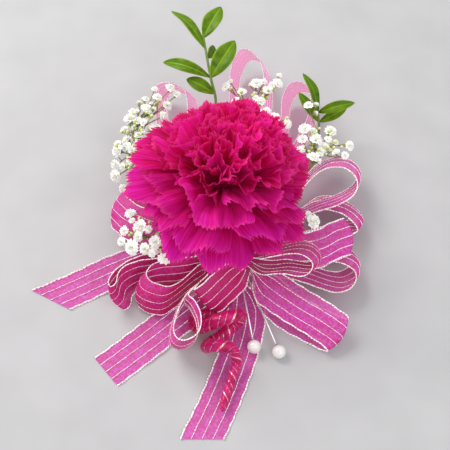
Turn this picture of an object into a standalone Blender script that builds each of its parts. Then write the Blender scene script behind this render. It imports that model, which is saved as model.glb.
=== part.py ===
"""Carnation corsage lying on its back, as a florist binds it.

One double carnation is taped to two leafy sprigs and five sprays of baby's
breath. Below the flower head a bow of sheer ribbon, with eleven loops and
three tails, is drawn tight round the taped stem. Three longer loops stand
behind the flower. The stem runs on inside a ribbon sleeve that is curled like
a pig's tail, and two pearl-headed pins are parked in the bow.

Points and sizes are in millimetres and are scaled to metres when a mesh is
made. +X is to the right, +Y points away from the stem's curl, +Z is up from
the surface that the corsage lies on.
"""
import math
import random

import bmesh
import bpy
from mathutils import Matrix, Vector

MM = 0.001
GAP = 0.3

RIBBON_WIDTH = 15.9
RIBBON_THICK = 0.6
RIBBON_ROOT_WIDTH = 3.0
GATHER_LENGTH = 15.0
BACK_GATHER_LENGTH = 45.0
ROOT_HALF_OPENING = 0.75
SLANT_LENGTH = 14.0

BLOOM_RADIUS = 41.5
BLOOM_HEIGHT = 37.5
PETAL_THICK = 0.7
CALYX_LENGTH = 22.5
CALYX_MOUTH = Vector((-1.3, 9.0, 29.0))
LEAN_BACK = math.radians(12.0)
LEAN_RIGHT = math.radians(3.0)

STEM_RADIUS = 1.8
WRAP_WALL = 0.75
WRAP_TIP_RADIUS = 1.5
TIE_RADIUS = 5.2

PIN_SHAFT_RADIUS = 0.45
PEARL_RADIUS = 2.9
LEAF_THICK = 0.6
TWIG_RADIUS = 0.5
FLORET_RADIUS = 2.6
BUD_RADIUS = 1.2

SEED = 4711


def clear_scene():
    """Start from an empty scene."""
    for old in list(bpy.data.objects):
        bpy.data.objects.remove(old, do_unlink=True)


def make_material(name, colour, roughness, metallic=0.0):
    """One plain Principled material for a kind of piece."""
    material = bpy.data.materials.new(name)
    material.use_nodes = True
    shader = material.node_tree.nodes["Principled BSDF"]
    shader.inputs["Base Color"].default_value = (*colour, 1.0)
    shader.inputs["Roughness"].default_value = roughness
    shader.inputs["Metallic"].default_value = metallic
    material.diffuse_color = (*colour, 1.0)
    return material


def add_object(name, verts, faces, material, seat):
    """A named object from points in millimetres, parented to the seat."""
    mesh = bpy.data.meshes.new(name)
    mesh.from_pydata([tuple(v * MM for v in point) for point in verts], [], faces)
    mesh.validate()
    mesh.materials.append(material)
    piece = bpy.data.objects.new(name, mesh)
    bpy.context.scene.collection.objects.link(piece)
    piece.parent = seat
    return piece


def shade_round(piece, angle=50.0):
    """Smooth shading, with edges kept sharp past an angle."""
    piece.data.shade_smooth()
    piece.data.set_sharp_from_angle(angle=math.radians(angle))


def smooth_curve(points, steps, closed=False):
    """Catmull-Rom curve through hand-placed points, steps to a span."""
    points = [Vector(p) for p in points]
    count = len(points)
    spans = count if closed else count - 1
    result = []
    for i in range(spans):
        if closed:
            p0, p1, p2, p3 = (points[(i + k) % count] for k in (-1, 0, 1, 2))
        else:
            p1, p2 = points[i], points[i + 1]
            p0 = points[i - 1] if i > 0 else p1 * 2 - p2
            p3 = points[i + 2] if i + 2 < count else p2 * 2 - p1
        for step in range(steps):
            t = step / steps
            a = p1 * 2
            b = p2 - p0
            c = p0 * 2 - p1 * 5 + p2 * 4 - p3
            d = -p0 + p1 * 3 - p2 * 3 + p3
            result.append((a + b * t + c * t * t + d * t * t * t) / 2)
    if not closed:
        result.append(points[-1])
    return result


def tangents(path, closed=False):
    """Unit directions along a path."""
    count = len(path)
    result = []
    for i in range(count):
        if closed:
            step = path[(i + 1) % count] - path[i - 1]
        else:
            step = path[min(i + 1, count - 1)] - path[max(i - 1, 0)]
        result.append(step.normalized())
    return result


def smoothstep(value):
    """Ease from 0 to 1."""
    value = min(max(value, 0.0), 1.0)
    return value * value * (3.0 - 2.0 * value)


def ring_faces(rings, sides, closed):
    """Triangles between successive rings, all split the same way."""
    faces = []
    for i in range(rings if closed else rings - 1):
        a = i * sides
        b = ((i + 1) % rings) * sides
        for k in range(sides):
            m = (k + 1) % sides
            faces.append((a + k, a + m, b + m))
            faces.append((a + k, b + m, b + k))
    return faces


def tube_mesh(path, radii, sides):
    """Closed tube along a path, with flat ends."""
    side = Vector((0.0, 0.0, 1.0))
    verts = []
    for point, along, radius in zip(path, tangents(path), radii):
        side = side - along * side.dot(along)
        side.normalize()
        other = along.cross(side)
        for k in range(sides):
            turn = math.tau * k / sides
            verts.append(point + (side * math.cos(turn) + other * math.sin(turn)) * radius)
    faces = ring_faces(len(path), sides, closed=False)
    last = (len(path) - 1) * sides
    for k in range(1, sides - 1):
        faces.append((0, k + 1, k))
        faces.append((last, last + k, last + k + 1))
    return verts, faces


def strip_section(centre, along, across, width):
    """Four corners of a ribbon's cross-section."""
    normal = along.cross(across).normalized()
    half_width = across * (width / 2)
    half_thick = normal * (RIBBON_THICK / 2)
    return [
        centre - half_width - half_thick,
        centre + half_width - half_thick,
        centre + half_width + half_thick,
        centre - half_width + half_thick,
    ]


def strip_faces(rings, closed):
    """Triangles of a ribbon, with its front and back split along the same lines."""
    faces = []
    for i in range(rings if closed else rings - 1):
        a = i * 4
        b = ((i + 1) % rings) * 4
        faces += [(a, a + 1, b + 1), (a, b + 1, b)]
        faces += [(a + 1, a + 2, b + 2), (a + 1, b + 2, b + 1)]
        faces += [(a + 2, a + 3, b + 2), (a + 3, b + 3, b + 2)]
        faces += [(a + 3, a, b), (a + 3, b, b + 3)]
    return faces


def ribbon_widths(path, closed, gather=GATHER_LENGTH):
    """Ribbon width at each station, drawn in towards the tie."""
    gone = [0.0]
    for a, b in zip(path, path[1:]):
        gone.append(gone[-1] + (b - a).length)
    total = gone[-1] + ((path[0] - path[-1]).length if closed else 0.0)
    widths = []
    for done in gone:
        free = min(done, total - done) if closed else done
        grown = smoothstep(free / gather)
        widths.append(RIBBON_ROOT_WIDTH + (RIBBON_WIDTH - RIBBON_ROOT_WIDTH) * grown)
    return widths


def ribbon_loop(name, root, points, across, gather, material, seat):
    """A closed loop of ribbon that leaves the tie at root and comes back to it.

    points lie on the ribbon's centre line. across is the direction from one
    woven edge to the other.
    """
    root = Vector(root)
    across = Vector(across).normalized()
    first = Vector(points[0])
    last = Vector(points[-1])
    ahead = ((first + last) / 2 - root).normalized()
    opening = first - last
    opening = (opening - ahead * opening.dot(ahead)).normalized() * ROOT_HALF_OPENING
    neck = root + ahead * 3.0
    path = smooth_curve([root, neck + opening, *points, neck - opening], 2, closed=True)
    verts = []
    for centre, along, width in zip(path, tangents(path, True), ribbon_widths(path, True, gather)):
        verts.extend(strip_section(centre, along, across, width))
    return add_object(name, verts, strip_faces(len(path), closed=True), material, seat)


def ribbon_tail(name, points, slant, material, seat):
    """A tail of ribbon from the tie to a slanting cut end."""
    path = smooth_curve(points, 4)
    verts = []
    for centre, along, width in zip(path, tangents(path), ribbon_widths(path, False)):
        across = Vector((-along.y, along.x, 0.0))
        verts.extend(strip_section(centre, along, across, width))
    along = tangents(path)[-1]
    for station in range(len(path)):
        near = max(1.0 - (path[-1] - path[station]).length / SLANT_LENGTH, 0.0)
        for corner, sign in zip(range(4 * station, 4 * station + 4), (-1, 1, 1, -1)):
            verts[corner] = verts[corner] + along * (sign * near * slant / 2)
    faces = strip_faces(len(path), closed=False)
    last = len(verts) - 4
    faces += [(0, 2, 1), (0, 3, 2), (last, last + 1, last + 2), (last, last + 2, last + 3)]
    return add_object(name, verts, faces, material, seat)


def blade_mesh(top, bottom):
    """Closed thin blade from two matching grids of points, split alike."""
    rows = len(top)
    cols = len(top[0])
    verts = [p for row in top for p in row] + [p for row in bottom for p in row]
    under = rows * cols
    faces = []
    for i in range(rows - 1):
        for k in range(cols - 1):
            a = i * cols + k
            b = a + 1
            c = a + cols
            d = c + 1
            faces += [(a, b, d), (a, d, c)]
            faces += [(under + a, under + d, under + b), (under + a, under + c, under + d)]
    rim = [(0, k) for k in range(cols)]
    rim += [(i, cols - 1) for i in range(1, rows)]
    rim += [(rows - 1, k) for k in range(cols - 2, -1, -1)]
    rim += [(i, 0) for i in range(rows - 2, 0, -1)]
    ids = [i * cols + k for i, k in rim]
    for a, b in zip(ids, ids[1:] + ids[:1]):
        faces += [(a, under + a, under + b), (a, under + b, b)]
    return verts, faces


def drop_pockets(work):
    """Fill sealed pockets between crossing parts, and drop stray flecks."""
    todo = set(work.faces)
    stray = []
    while todo:
        island = [todo.pop()]
        for face in island:
            for edge in face.edges:
                for other in edge.link_faces:
                    if other in todo and len(edge.link_faces) == 2:
                        todo.remove(other)
                        island.append(other)
        volume = 0.0
        for face in island:
            a, b, c = (v.co for v in face.verts)
            volume += a.dot(b.cross(c)) / 6.0
        if volume < 5.0 * MM ** 3:
            stray.extend(island)
    bmesh.ops.delete(work, geom=stray, context="FACES")


def tidy_union(mesh):
    """Take out the needless cuts that a union leaves in flat faces."""
    work = bmesh.new()
    work.from_mesh(mesh)
    bmesh.ops.dissolve_limit(work, angle_limit=math.radians(0.1), verts=work.verts, edges=work.edges)
    bmesh.ops.triangulate(work, faces=work.faces)
    drop_pockets(work)
    work.to_mesh(mesh)
    work.free()


def fused(name, core, parts, material, seat):
    """One solid from a core mesh and its parts, joined by a Boolean union."""
    piece = add_object(name, *core, material, seat)
    group = bpy.data.collections.new(name + "_parts")
    bpy.context.scene.collection.children.link(group)
    for index, (verts, faces) in enumerate(parts):
        part = add_object(f"{name}_part_{index}", verts, faces, material, seat)
        bpy.context.scene.collection.objects.unlink(part)
        group.objects.link(part)
    union = piece.modifiers.new("union", "BOOLEAN")
    union.operation = "UNION"
    union.operand_type = "COLLECTION"
    union.collection = group
    union.solver = "MANIFOLD"
    depsgraph = bpy.context.evaluated_depsgraph_get()
    mesh = bpy.data.meshes.new_from_object(piece.evaluated_get(depsgraph))
    piece.modifiers.clear()
    piece.data = mesh
    tidy_union(mesh)
    for part in list(group.objects):
        bpy.data.objects.remove(part, do_unlink=True)
    bpy.data.collections.remove(group)
    return piece


def turned_mesh(profile, sides, frame):
    """Solid of revolution from (radius, height) pairs, closed at both ends."""
    verts = [frame @ Vector((0.0, 0.0, profile[0][1]))]
    for radius, height in profile[1:-1]:
        for k in range(sides):
            turn = math.tau * k / sides
            flat = (radius * math.cos(turn), radius * math.sin(turn), height)
            verts.append(frame @ Vector(flat))
    verts.append(frame @ Vector((0.0, 0.0, profile[-1][1])))
    rings = len(profile) - 2
    faces = []
    for k in range(sides):
        m = (k + 1) % sides
        faces.append((0, 1 + m, 1 + k))
        top = 1 + (rings - 1) * sides
        faces.append((len(verts) - 1, top + k, top + m))
    for a, b, c in ring_faces(rings, sides, closed=False):
        faces.append((a + 1, b + 1, c + 1))
    return verts, faces


def bloom_frame():
    """Local frame of the flower head, on the calyx's mouth, +Z along its axis."""
    lean = Matrix.Rotation(-LEAN_BACK, 4, "X") @ Matrix.Rotation(LEAN_RIGHT, 4, "Y")
    return Matrix.Translation(CALYX_MOUTH) @ lean


# Petal layers: count, tip radius and tip height as shares of the bloom's,
# half width in millimetres, tilt of each petal in degrees and its pleats.
PETAL_LAYERS = (
    (9, 1.00, -0.04, 14.5, 12.0, 6),
    (9, 0.95, 0.22, 14.0, 13.0, 6),
    (8, 0.85, 0.47, 13.5, 14.0, 4),
    (7, 0.72, 0.68, 12.5, 16.0, 4),
    (6, 0.55, 0.83, 11.0, 18.0, 4),
    (5, 0.37, 0.94, 9.0, 20.0, 4),
    (3, 0.16, 1.00, 7.0, 24.0, 4),
)
OUTER_ROWS = (0.22, 0.52, 0.80, 1.0)
INNER_ROWS = (0.28, 0.66, 1.0)
OUTER_LAYERS = 1
FRONT_DROOP = 5.0
SIDE_LIFT = 12.0


def petal_mesh(frame, turn, reach, rise, half_width, tilt, columns, rows, draw):
    """One fan-shaped petal with pleats and a toothed tip."""
    out = Vector((math.cos(turn), math.sin(turn), 0.0))
    side = Vector((math.sin(turn), -math.cos(turn), 0.0))
    up = Vector((0.0, 0.0, 1.0))
    base = out * 2.5 + up * (3.0 + 0.15 * max(rise, 0.0))
    bend = out * (0.30 * reach) + up * (13.0 + 0.75 * rise)
    tip = out * reach + up * rise
    top = []
    bottom = []
    pleat_phase = draw.uniform(-0.3, 0.3)
    for share in rows:
        upper = []
        lower = []
        for k in range(columns + 1):
            t = 2.0 * k / columns - 1.0
            tooth = 0.055 if k % 2 else 0.0
            along = share * (1.0 - (0.10 * t * t + tooth) * share ** 3)
            point = base * (1 - along) ** 2 + bend * (2 * along * (1 - along)) + tip * along ** 2
            slope = (bend - base) * (1 - along) + (tip - bend) * along
            normal = side.cross(slope).normalized()
            spread = half_width * (0.18 + 0.82 * smoothstep(share * 1.05))
            pleat = 1.1 * share ** 2 * math.cos(math.pi * k + pleat_phase)
            lift = math.tan(math.radians(tilt)) * t * spread + pleat
            point = point + side * (t * spread) + normal * lift
            upper.append(frame @ (point + normal * (PETAL_THICK / 2)))
            lower.append(frame @ (point - normal * (PETAL_THICK / 2)))
        top.append(upper)
        bottom.append(lower)
    return blade_mesh(top, bottom)


def make_petals(material, seat):
    """All petals of the double flower, standing out of their packed claws."""
    draw = random.Random(SEED)
    frame = bloom_frame()
    claws = [(0.0, -9.0), (4.4, -9.0), (5.4, -1.0), (6.6, 4.0), (14.5, 9.0), (20.5, 16.0),
             (19.5, 23.0), (14.5, 29.0), (7.5, 33.0), (0.0, 34.0)]
    petals = []
    for layer, (count, reach, rise, half_width, tilt, columns) in enumerate(PETAL_LAYERS):
        rows = OUTER_ROWS if layer < OUTER_LAYERS else INNER_ROWS
        for k in range(count):
            turn = math.tau * (k + 0.38 * layer) / count + draw.uniform(-0.06, 0.06)
            front = max(0.0, -math.sin(turn))
            lift = max(0.0, 1.0 - 0.5 * layer) * (SIDE_LIFT - (SIDE_LIFT + FRONT_DROOP) * front)
            radius = BLOOM_RADIUS * reach * draw.uniform(0.965, 1.0)
            height = BLOOM_HEIGHT * rise + draw.uniform(-1.0, 1.0) + lift
            shape = (turn, radius, height, half_width, tilt, columns, rows)
            petals.append(petal_mesh(frame, *shape, draw))
    core = turned_mesh(claws, 14, frame)
    return fused("carnation_petals", core, petals, material, seat)


def make_calyx(material, seat):
    """Green cup under the petals, with five pointed teeth and a cut stub."""
    frame = bloom_frame()
    sides = 20
    foot = -CALYX_LENGTH
    outer = [(3.0, foot), (5.0, foot + 2.0), (6.6, foot + 8.0), (7.3, -7.0), (7.2, -1.0)]
    verts = []
    for radius, height in outer:
        for k in range(sides):
            turn = math.tau * k / sides
            verts.append(Vector((radius * math.cos(turn), radius * math.sin(turn), height)))
    tooth_rise = (3.6, 1.6, 0.0, 1.6)
    for radius in (7.9, 7.2):
        for k in range(sides):
            turn = math.tau * k / sides
            rise = tooth_rise[k % 4]
            flare = radius + 0.10 * rise
            verts.append(Vector((flare * math.cos(turn), flare * math.sin(turn), rise)))
    for radius, height in ((6.1, -1.0), (5.0, -9.4)):
        for k in range(sides):
            turn = math.tau * k / sides
            verts.append(Vector((radius * math.cos(turn), radius * math.sin(turn), height)))
    rings = len(verts) // sides
    faces = ring_faces(rings, sides, closed=False)
    last = (rings - 1) * sides
    verts.append(Vector((0.0, 0.0, foot)))
    verts.append(Vector((0.0, 0.0, -9.4)))
    for k in range(sides):
        m = (k + 1) % sides
        faces.append((len(verts) - 2, m, k))
        faces.append((len(verts) - 1, last + k, last + m))
    piece = add_object("carnation_calyx", [frame @ v for v in verts], faces, material, seat)
    shade_round(piece)
    return piece


def calyx_foot():
    """Centre of the calyx's cut end."""
    return bloom_frame() @ Vector((0.0, 0.0, -CALYX_LENGTH))


# The taped stem, as points on its centre line: it bends under the calyx, runs
# through the tape and the tie, and its free end is curled like a pig's tail.
STEM_BEND = [(-2.2, 1.0, 3.3), (1.2, -4.4, 4.7), (4.1, -8.0, 5.9), (4.9, -11.5, 6.2), (5.0, -15.0, 6.3)]
STEM_CURL = [(4.9, -17.0, 6.3), (4.4, -21.0, 5.8), (2.4, -26.5, 4.8), (-1.8, -31.6, 4.5),
             (-6.4, -34.4, 4.3), (-10.6, -35.9, 4.2), (-13.2, -38.8, 4.6), (-10.8, -42.0, 6.4),
             (-6.6, -42.8, 10.4), (-2.4, -42.2, 13.4), (3.4, -40.2, 13.6), (6.5, -38.4, 10.2),
             (4.6, -39.8, 6.0), (-0.4, -43.8, 4.0), (-5.4, -48.0, 4.3), (-7.4, -51.0, 7.2),
             (-5.8, -52.6, 11.0), (-2.0, -53.2, 12.6), (2.6, -53.8, 11.2), (4.7, -56.2, 7.6),
             (4.0, -60.2, 5.0), (1.8, -67.0, 3.9), (-0.2, -73.0, 3.2), (-1.2, -77.5, 2.6)]


def sleeve_radius(share):
    """Outer radius of the ribbon sleeve along its length, 0 at the tie."""
    swell = smoothstep(share / 0.25)
    taper = smoothstep((share - 0.62) / 0.38)
    return 2.55 + 0.35 * swell - (2.9 - WRAP_TIP_RADIUS) * taper


def make_stem(core_material, wrap_material, seat):
    """Wired and taped stem, and the ribbon sleeve wound round its free end."""
    bend = [calyx_foot() + Vector((0.1, -0.3, -GAP - 0.6)), *STEM_BEND]
    sleeve = smooth_curve(STEM_CURL, 2)
    count = len(sleeve)
    outer = [sleeve_radius(i / (count - 1)) for i in range(count)]
    inner = [radius - WRAP_WALL for radius in outer]
    stop = count - 2
    core_path = smooth_curve(bend, 2)[:-1] + [Vector(STEM_BEND[-1])] + sleeve[:stop]
    core_radii = []
    for i in range(len(core_path)):
        place = i - (len(core_path) - stop)
        core_radii.append(STEM_RADIUS if place < 0 else min(STEM_RADIUS, 0.87 * inner[place] - GAP))
    verts, faces = tube_mesh(core_path, core_radii, 5)
    shade_round(add_object("stem_core", verts, faces, core_material, seat))

    sides = 6
    skin, skin_faces = tube_mesh(sleeve, outer, sides)
    bore, bore_faces = tube_mesh(sleeve[:stop + 1], inner[:stop + 1], sides)
    shift = len(skin)
    faces = [f for f in skin_faces if max(f) >= sides]
    for a, b, c in bore_faces:
        if max(a, b, c) >= sides:
            faces.append((shift + a, shift + c, shift + b))
    for k in range(sides):
        m = (k + 1) % sides
        faces += [(k, shift + k, m), (m, shift + k, shift + m)]
    shade_round(add_object("stem_wrap", skin + bore, faces, wrap_material, seat))


def cut_with(piece, cutter_mesh, name):
    """Take a cutter's shape out of a piece and apply the cut."""
    cutter = add_object(name, *cutter_mesh, piece.data.materials[0], piece.parent)
    cutter.hide_render = True
    cutter.display_type = "WIRE"
    cut = piece.modifiers.new(name, "BOOLEAN")
    cut.operation = "DIFFERENCE"
    cut.object = cutter
    depsgraph = bpy.context.evaluated_depsgraph_get()
    mesh = bpy.data.meshes.new_from_object(piece.evaluated_get(depsgraph))
    piece.modifiers.clear()
    piece.data = mesh
    bpy.data.objects.remove(cutter, do_unlink=True)


def collar_mesh(path, outer, bore, sides, pleat=0.0):
    """Thick-walled collar round a path, its outside ribbed by pleats."""
    side = Vector((0.0, 0.0, 1.0))
    count = len(path)
    walls = ([], [])
    for index, (point, along) in enumerate(zip(path, tangents(path))):
        side = (side - along * side.dot(along)).normalized()
        other = along.cross(side)
        for wall, radius in zip(walls, (outer[index], bore)):
            for k in range(sides):
                turn = math.tau * k / sides
                rib = pleat * (1 if k % 2 else -1) if wall is walls[0] else 0.0
                ray = side * math.cos(turn) + other * math.sin(turn)
                wall.append(point + ray * (radius + rib))
    verts = walls[0] + walls[1]
    shift = len(walls[0])
    faces = ring_faces(count, sides, closed=False)
    faces += [(shift + a, shift + c, shift + b) for a, b, c in list(faces)]
    last = (count - 1) * sides
    for k in range(sides):
        m = (k + 1) % sides
        faces += [(k, shift + k, m), (m, shift + k, shift + m)]
        faces += [(last + k, last + m, shift + last + k), (last + m, shift + last + m, shift + last + k)]
    return verts, faces


TIE_PATH = [(3.9, -7.6, 5.8), (4.7, -10.2, 6.1), (5.0, -13.0, 6.3), (5.0, -15.7, 6.3)]

# Each pin: where its point is buried in the tie, and the centre of its pearl.
PINS = {
    "left": ((5.6, -13.4, 9.4), (12.1, -49.7, 3.9)),
    "right": ((7.6, -13.4, 7.8), (22.5, -51.6, 3.0)),
}


def make_tie(material, seat):
    """Gathered waist of the bow, drawn tight round the stem, with pin holes."""
    path = [Vector(p) for p in TIE_PATH]
    radii = [TIE_RADIUS - 0.9, TIE_RADIUS, TIE_RADIUS, TIE_RADIUS - 0.2]
    piece = add_object("bow_tie", *collar_mesh(path, radii, 2.3, 16, 0.25), material, seat)
    for side, (point, pearl) in PINS.items():
        along = (Vector(pearl) - Vector(point)).normalized()
        hole = tube_mesh([Vector(point) - along * 0.8, Vector(point) + along * 5.0], [0.9, 0.9], 8)
        cut_with(piece, hole, "pin_hole_" + side)
    return piece


def make_tape(material, seat):
    """Florist's tape that binds the greens to the stem below the calyx."""
    path = smooth_curve([(-2.2, 0.6, 3.4), (-0.7, -1.9, 3.8), (1.2, -4.5, 4.7)], 2)
    shade_round(add_object("floral_tape", *collar_mesh(path, [3.1] * len(path), 2.3, 12), material, seat))


def make_pins(steel, pearl_material, seat):
    """Two corsage pins, each a wire shaft and a pearl head bored to take it."""
    for side, (point, pearl) in PINS.items():
        point = Vector(point)
        pearl = Vector(pearl)
        along = (pearl - point).normalized()
        end = pearl - along * (PEARL_RADIUS - 1.6)
        shaft = tube_mesh([point, point + along * 2.5, end], [0.15, PIN_SHAFT_RADIUS, PIN_SHAFT_RADIUS], 6)
        shade_round(add_object("pin_shaft_" + side, *shaft, steel, seat))
        frame = Matrix.Translation(pearl) @ along.to_track_quat("-Z", "Y").to_matrix().to_4x4()
        profile = [(0.0, -PEARL_RADIUS)]
        for step in range(1, 7):
            angle = math.pi * step / 7 - math.pi / 2
            profile.append((PEARL_RADIUS * math.cos(angle), PEARL_RADIUS * math.sin(angle)))
        profile.append((0.0, PEARL_RADIUS))
        head = add_object("pin_pearl_" + side, *turned_mesh(profile, 12, frame), pearl_material, seat)
        hole = tube_mesh([end - along * 3.0, end + along * GAP], [0.8, 0.8], 8)
        cut_with(head, hole, "pearl_hole_" + side)
        shade_round(head)


# Bow loops: where each leaves the tie, points on the ribbon's centre line out
# and back, and the direction from its upper woven edge to its lower one.
LOOPS = {
    "right_rear": (
        (10.9, -8.4, 8.8),
        [(20, 6, 11.5), (30, 20.5, 12.5), (44, 37, 12), (53, 38, 15), (58.5, 36, 14), (61, 31, 13),
         (59, 25, 12), (50, 18.5, 11.5), (40, 17, 11.5), (24, 6, 10.1)],
        (1.7, 12.3, -9.9)),
    "right_upper": (
        (11.4, -10.4, 6.0),
        [(28, 7, 7.4), (42, 20, 7.4), (53, 18, 8.5), (59, 13, 8.5), (61, 9.4, 7.4), (58, 8.4, 5.4),
         (50, 7.2, 5.2), (30, 0, 5.5)],
        (2.5, 13.1, -8.7)),
    "right_face": (
        (10.0, -12.4, 10.2),
        [(24, -11.2, 14.3), (40, -9.5, 15.5), (48, -5, 15.4), (53.6, -2.4, 14.8), (54.2, -1.6, 13.6),
         (48, -4, 12.9), (36, -8.5, 12.5), (22, -11, 12)],
        (-2.6, 14.1, 6.9)),
    "right_lower": (
        (11.4, -12.6, 3.6),
        [(28, -6, 4.5), (43, -4.4, 5.1), (51, -5.2, 4.9), (57, -11.5, 7.9), (56.5, -16.5, 8),
         (53, -19, 6), (47, -21, 4.7), (28, -12.4, 4.4)],
        (0.6, 14.1, -7.4)),
    "right_front": (
        (11.4, -15.4, 8.8),
        [(13.5, -19.5, 11.2), (18, -26, 12.8), (29, -35, 13), (39, -41, 11.5), (47, -46, 9),
         (47, -46, 5.5), (38, -40.5, 3.8), (26.5, -33.4, 4.2), (17, -22.6, 5.2)],
        (8.7, 11.5, 6.6)),
    "right_top": (
        (7.9, -12.8, 12.4),
        [(17, -21, 19.5), (26, -22, 22.5), (35, -23, 22.5), (39, -19, 23.5), (37, -15, 24.5),
         (31, -13, 24.7), (20, -14, 22)],
        (3.5, 12.2, -9.6)),
    "left_rear": (
        (-1.1, -8.8, 8.2),
        [(-12, -6.4, 11), (-24, -2.5, 13.5), (-41, 4.5, 15), (-46, 9, 14), (-49, 13.5, 13), (-46, 17, 12),
         (-37, 15, 11), (-22, 2.5, 9), (-12, -3.6, 7.6)],
        (-5.6, -11.2, -9.8)),
    "left_middle": (
        (-1.4, -11.4, 5.2),
        [(-12, -12.6, 8.4), (-24, -12.8, 9), (-35, -15, 9.5), (-43, -20, 9.3), (-47.5, -26, 8.8),
         (-47, -30, 8.6), (-44.5, -28, 8.8), (-43, -22, 9), (-36, -17.6, 9), (-24, -15.6, 8.8),
         (-12, -14.6, 8)],
        (4.7, -3.4, -14.8)),
    "left_front": (
        (-0.9, -12.8, 9.4),
        [(-9, -16, 11), (-18, -19.5, 13), (-29, -20.5, 12.5), (-35.4, -22.6, 10.6), (-36.8, -26.5, 9.3),
         (-33, -30, 9), (-26, -31.5, 9), (-20, -28, 9.8), (-14, -22.5, 10.4), (-8, -18.2, 10.4)],
        (-4.3, -6.4, -13.9)),
    "front_drop": (
        (-0.4, -17.2, 7.4),
        [(-7.2, -21.8, 9.4), (-14.8, -28.6, 12.2), (-18.6, -34.6, 13), (-21.2, -41.5, 12), (-22.4, -48, 12),
         (-21, -52.6, 12.3), (-17, -54.4, 13.6), (-12.4, -52.8, 16.2), (-10.8, -49, 18.2), (-11.6, -43.5, 18.4),
         (-14.2, -37, 16.2), (-16.4, -33.4, 14.4), (-13.3, -28.4, 11.6), (-6.2, -22.8, 9.4)],
        (-1.7, 3.7, -15.4)),
    "front_centre": (
        (4.3, -15.2, 12.7),
        [(8, -18, 15.5), (3.2, -24.5, 17), (-1.8, -30, 16.8), (-6, -34, 16), (-8.4, -35, 15),
         (-7.3, -32.5, 14.2), (-2.8, -28, 15.3), (2, -22.8, 15.4), (5.6, -18, 14)],
        (9.7, -4.4, -11.8)),
    "back_left": (
        (-1.1, -8.2, 3.4),
        [(-5, -5, 4), (-8.6, 0, 4.8), (-10, 7, 5.5), (-12.5, 25, 7.4), (-15, 50, 8.6),
         (-16, 78, 9), (-20.5, 80, 15), (-27.6, 81, 15), (-31, 79, 9), (-28, 50, 8.6),
         (-21, 25, 7.4), (-13, 8, 5.4), (-11, 0, 4.8), (-7.4, -5.2, 4.2)],
        (1.5, 13.5, -8.3)),
    "back_centre": (
        (8.7, -5.6, 3.2),
        [(6.8, 3, 3.6), (5.5, 18, 5.6), (4.5, 40, 8.2), (4.5, 70, 8.8), (5, 92, 9), (9.4, 101, 15),
         (15.7, 100, 15), (20.6, 95, 9), (20, 70, 8.8), (15, 40, 8.2), (10, 18, 5.6), (8.8, 3, 3.6)],
        (-4.5, 10.8, -10.7)),
    "back_right": (
        (10.7, -7.7, 3.2),
        [(10.8, 3, 3.6), (13, 18, 5.6), (20, 40, 8.2), (28, 62, 8.8), (30, 77, 8.8), (33.5, 81.5, 14),
         (39.5, 81.5, 14), (43, 79, 8.8), (40, 62, 8.8), (29, 40, 8.2), (17, 18, 5.6), (12.2, 3, 3)],
        (-3.5, 11.0, -11.0)),
}

# Bow tails, lying flat: points from the tie to the cut end, and how far the
# cut slants.
TAILS = {
    "left": ([(-0.9, -9.2, 1.6), (-8, -7, 0.5), (-14, -5.5, 0.3), (-30, -4.5, 0.3), (-48, -11.5, 0.3),
              (-62, -19, 0.3), (-75.5, -26, 0.3)], -11.0),
    "front_left": ([(-0.6, -15.4, 1.5), (-6, -21, 0.6), (-13, -28, 0.3), (-28, -41.5, 0.3), (-39, -51, 0.3),
                    (-49.3, -59.5, 0.3)], 0.0),
    "front": ([(6.0, -16.4, 1.4), (8.5, -27, 0.5), (9.0, -37, 0.3), (5.0, -53, 0.3), (-2.2, -72.5, 0.3),
               (-9.2, -88.2, 0.3)], -7.0),
}


def make_ribbons(material, seat):
    """Every loop and tail of the bow."""
    for name, (root, points, across) in LOOPS.items():
        gather = BACK_GATHER_LENGTH if name.startswith("back") else GATHER_LENGTH
        ribbon_loop("ribbon_loop_" + name, root, points, across, gather, material, seat)
    for name, (points, slant) in TAILS.items():
        ribbon_tail("ribbon_tail_" + name, points, slant, material, seat)


def leaf_mesh(base, tip, half_width, up, arch):
    """One pointed oval leaf, folded a little along its midrib."""
    base = Vector(base)
    tip = Vector(tip)
    length = (tip - base).length
    along = (tip - base).normalized()
    up = Vector(up)
    up = (up - along * up.dot(along)).normalized()
    side = along.cross(up)
    top = []
    bottom = []
    for share, wide in ((0.0, 0.10), (0.18, 0.62), (0.42, 1.0), (0.66, 0.86), (0.86, 0.45), (1.0, 0.07)):
        rib = base + along * (share * length) + up * (arch * length * math.sin(math.pi * share))
        upper = []
        lower = []
        for t in (-1.0, 0.0, 1.0):
            point = rib + side * (t * wide * half_width) + up * (0.28 * abs(t) * wide * half_width)
            upper.append(point + up * (LEAF_THICK / 2))
            lower.append(point - up * (LEAF_THICK / 2))
        top.append(upper)
        bottom.append(lower)
    return blade_mesh(top, bottom)


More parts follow.
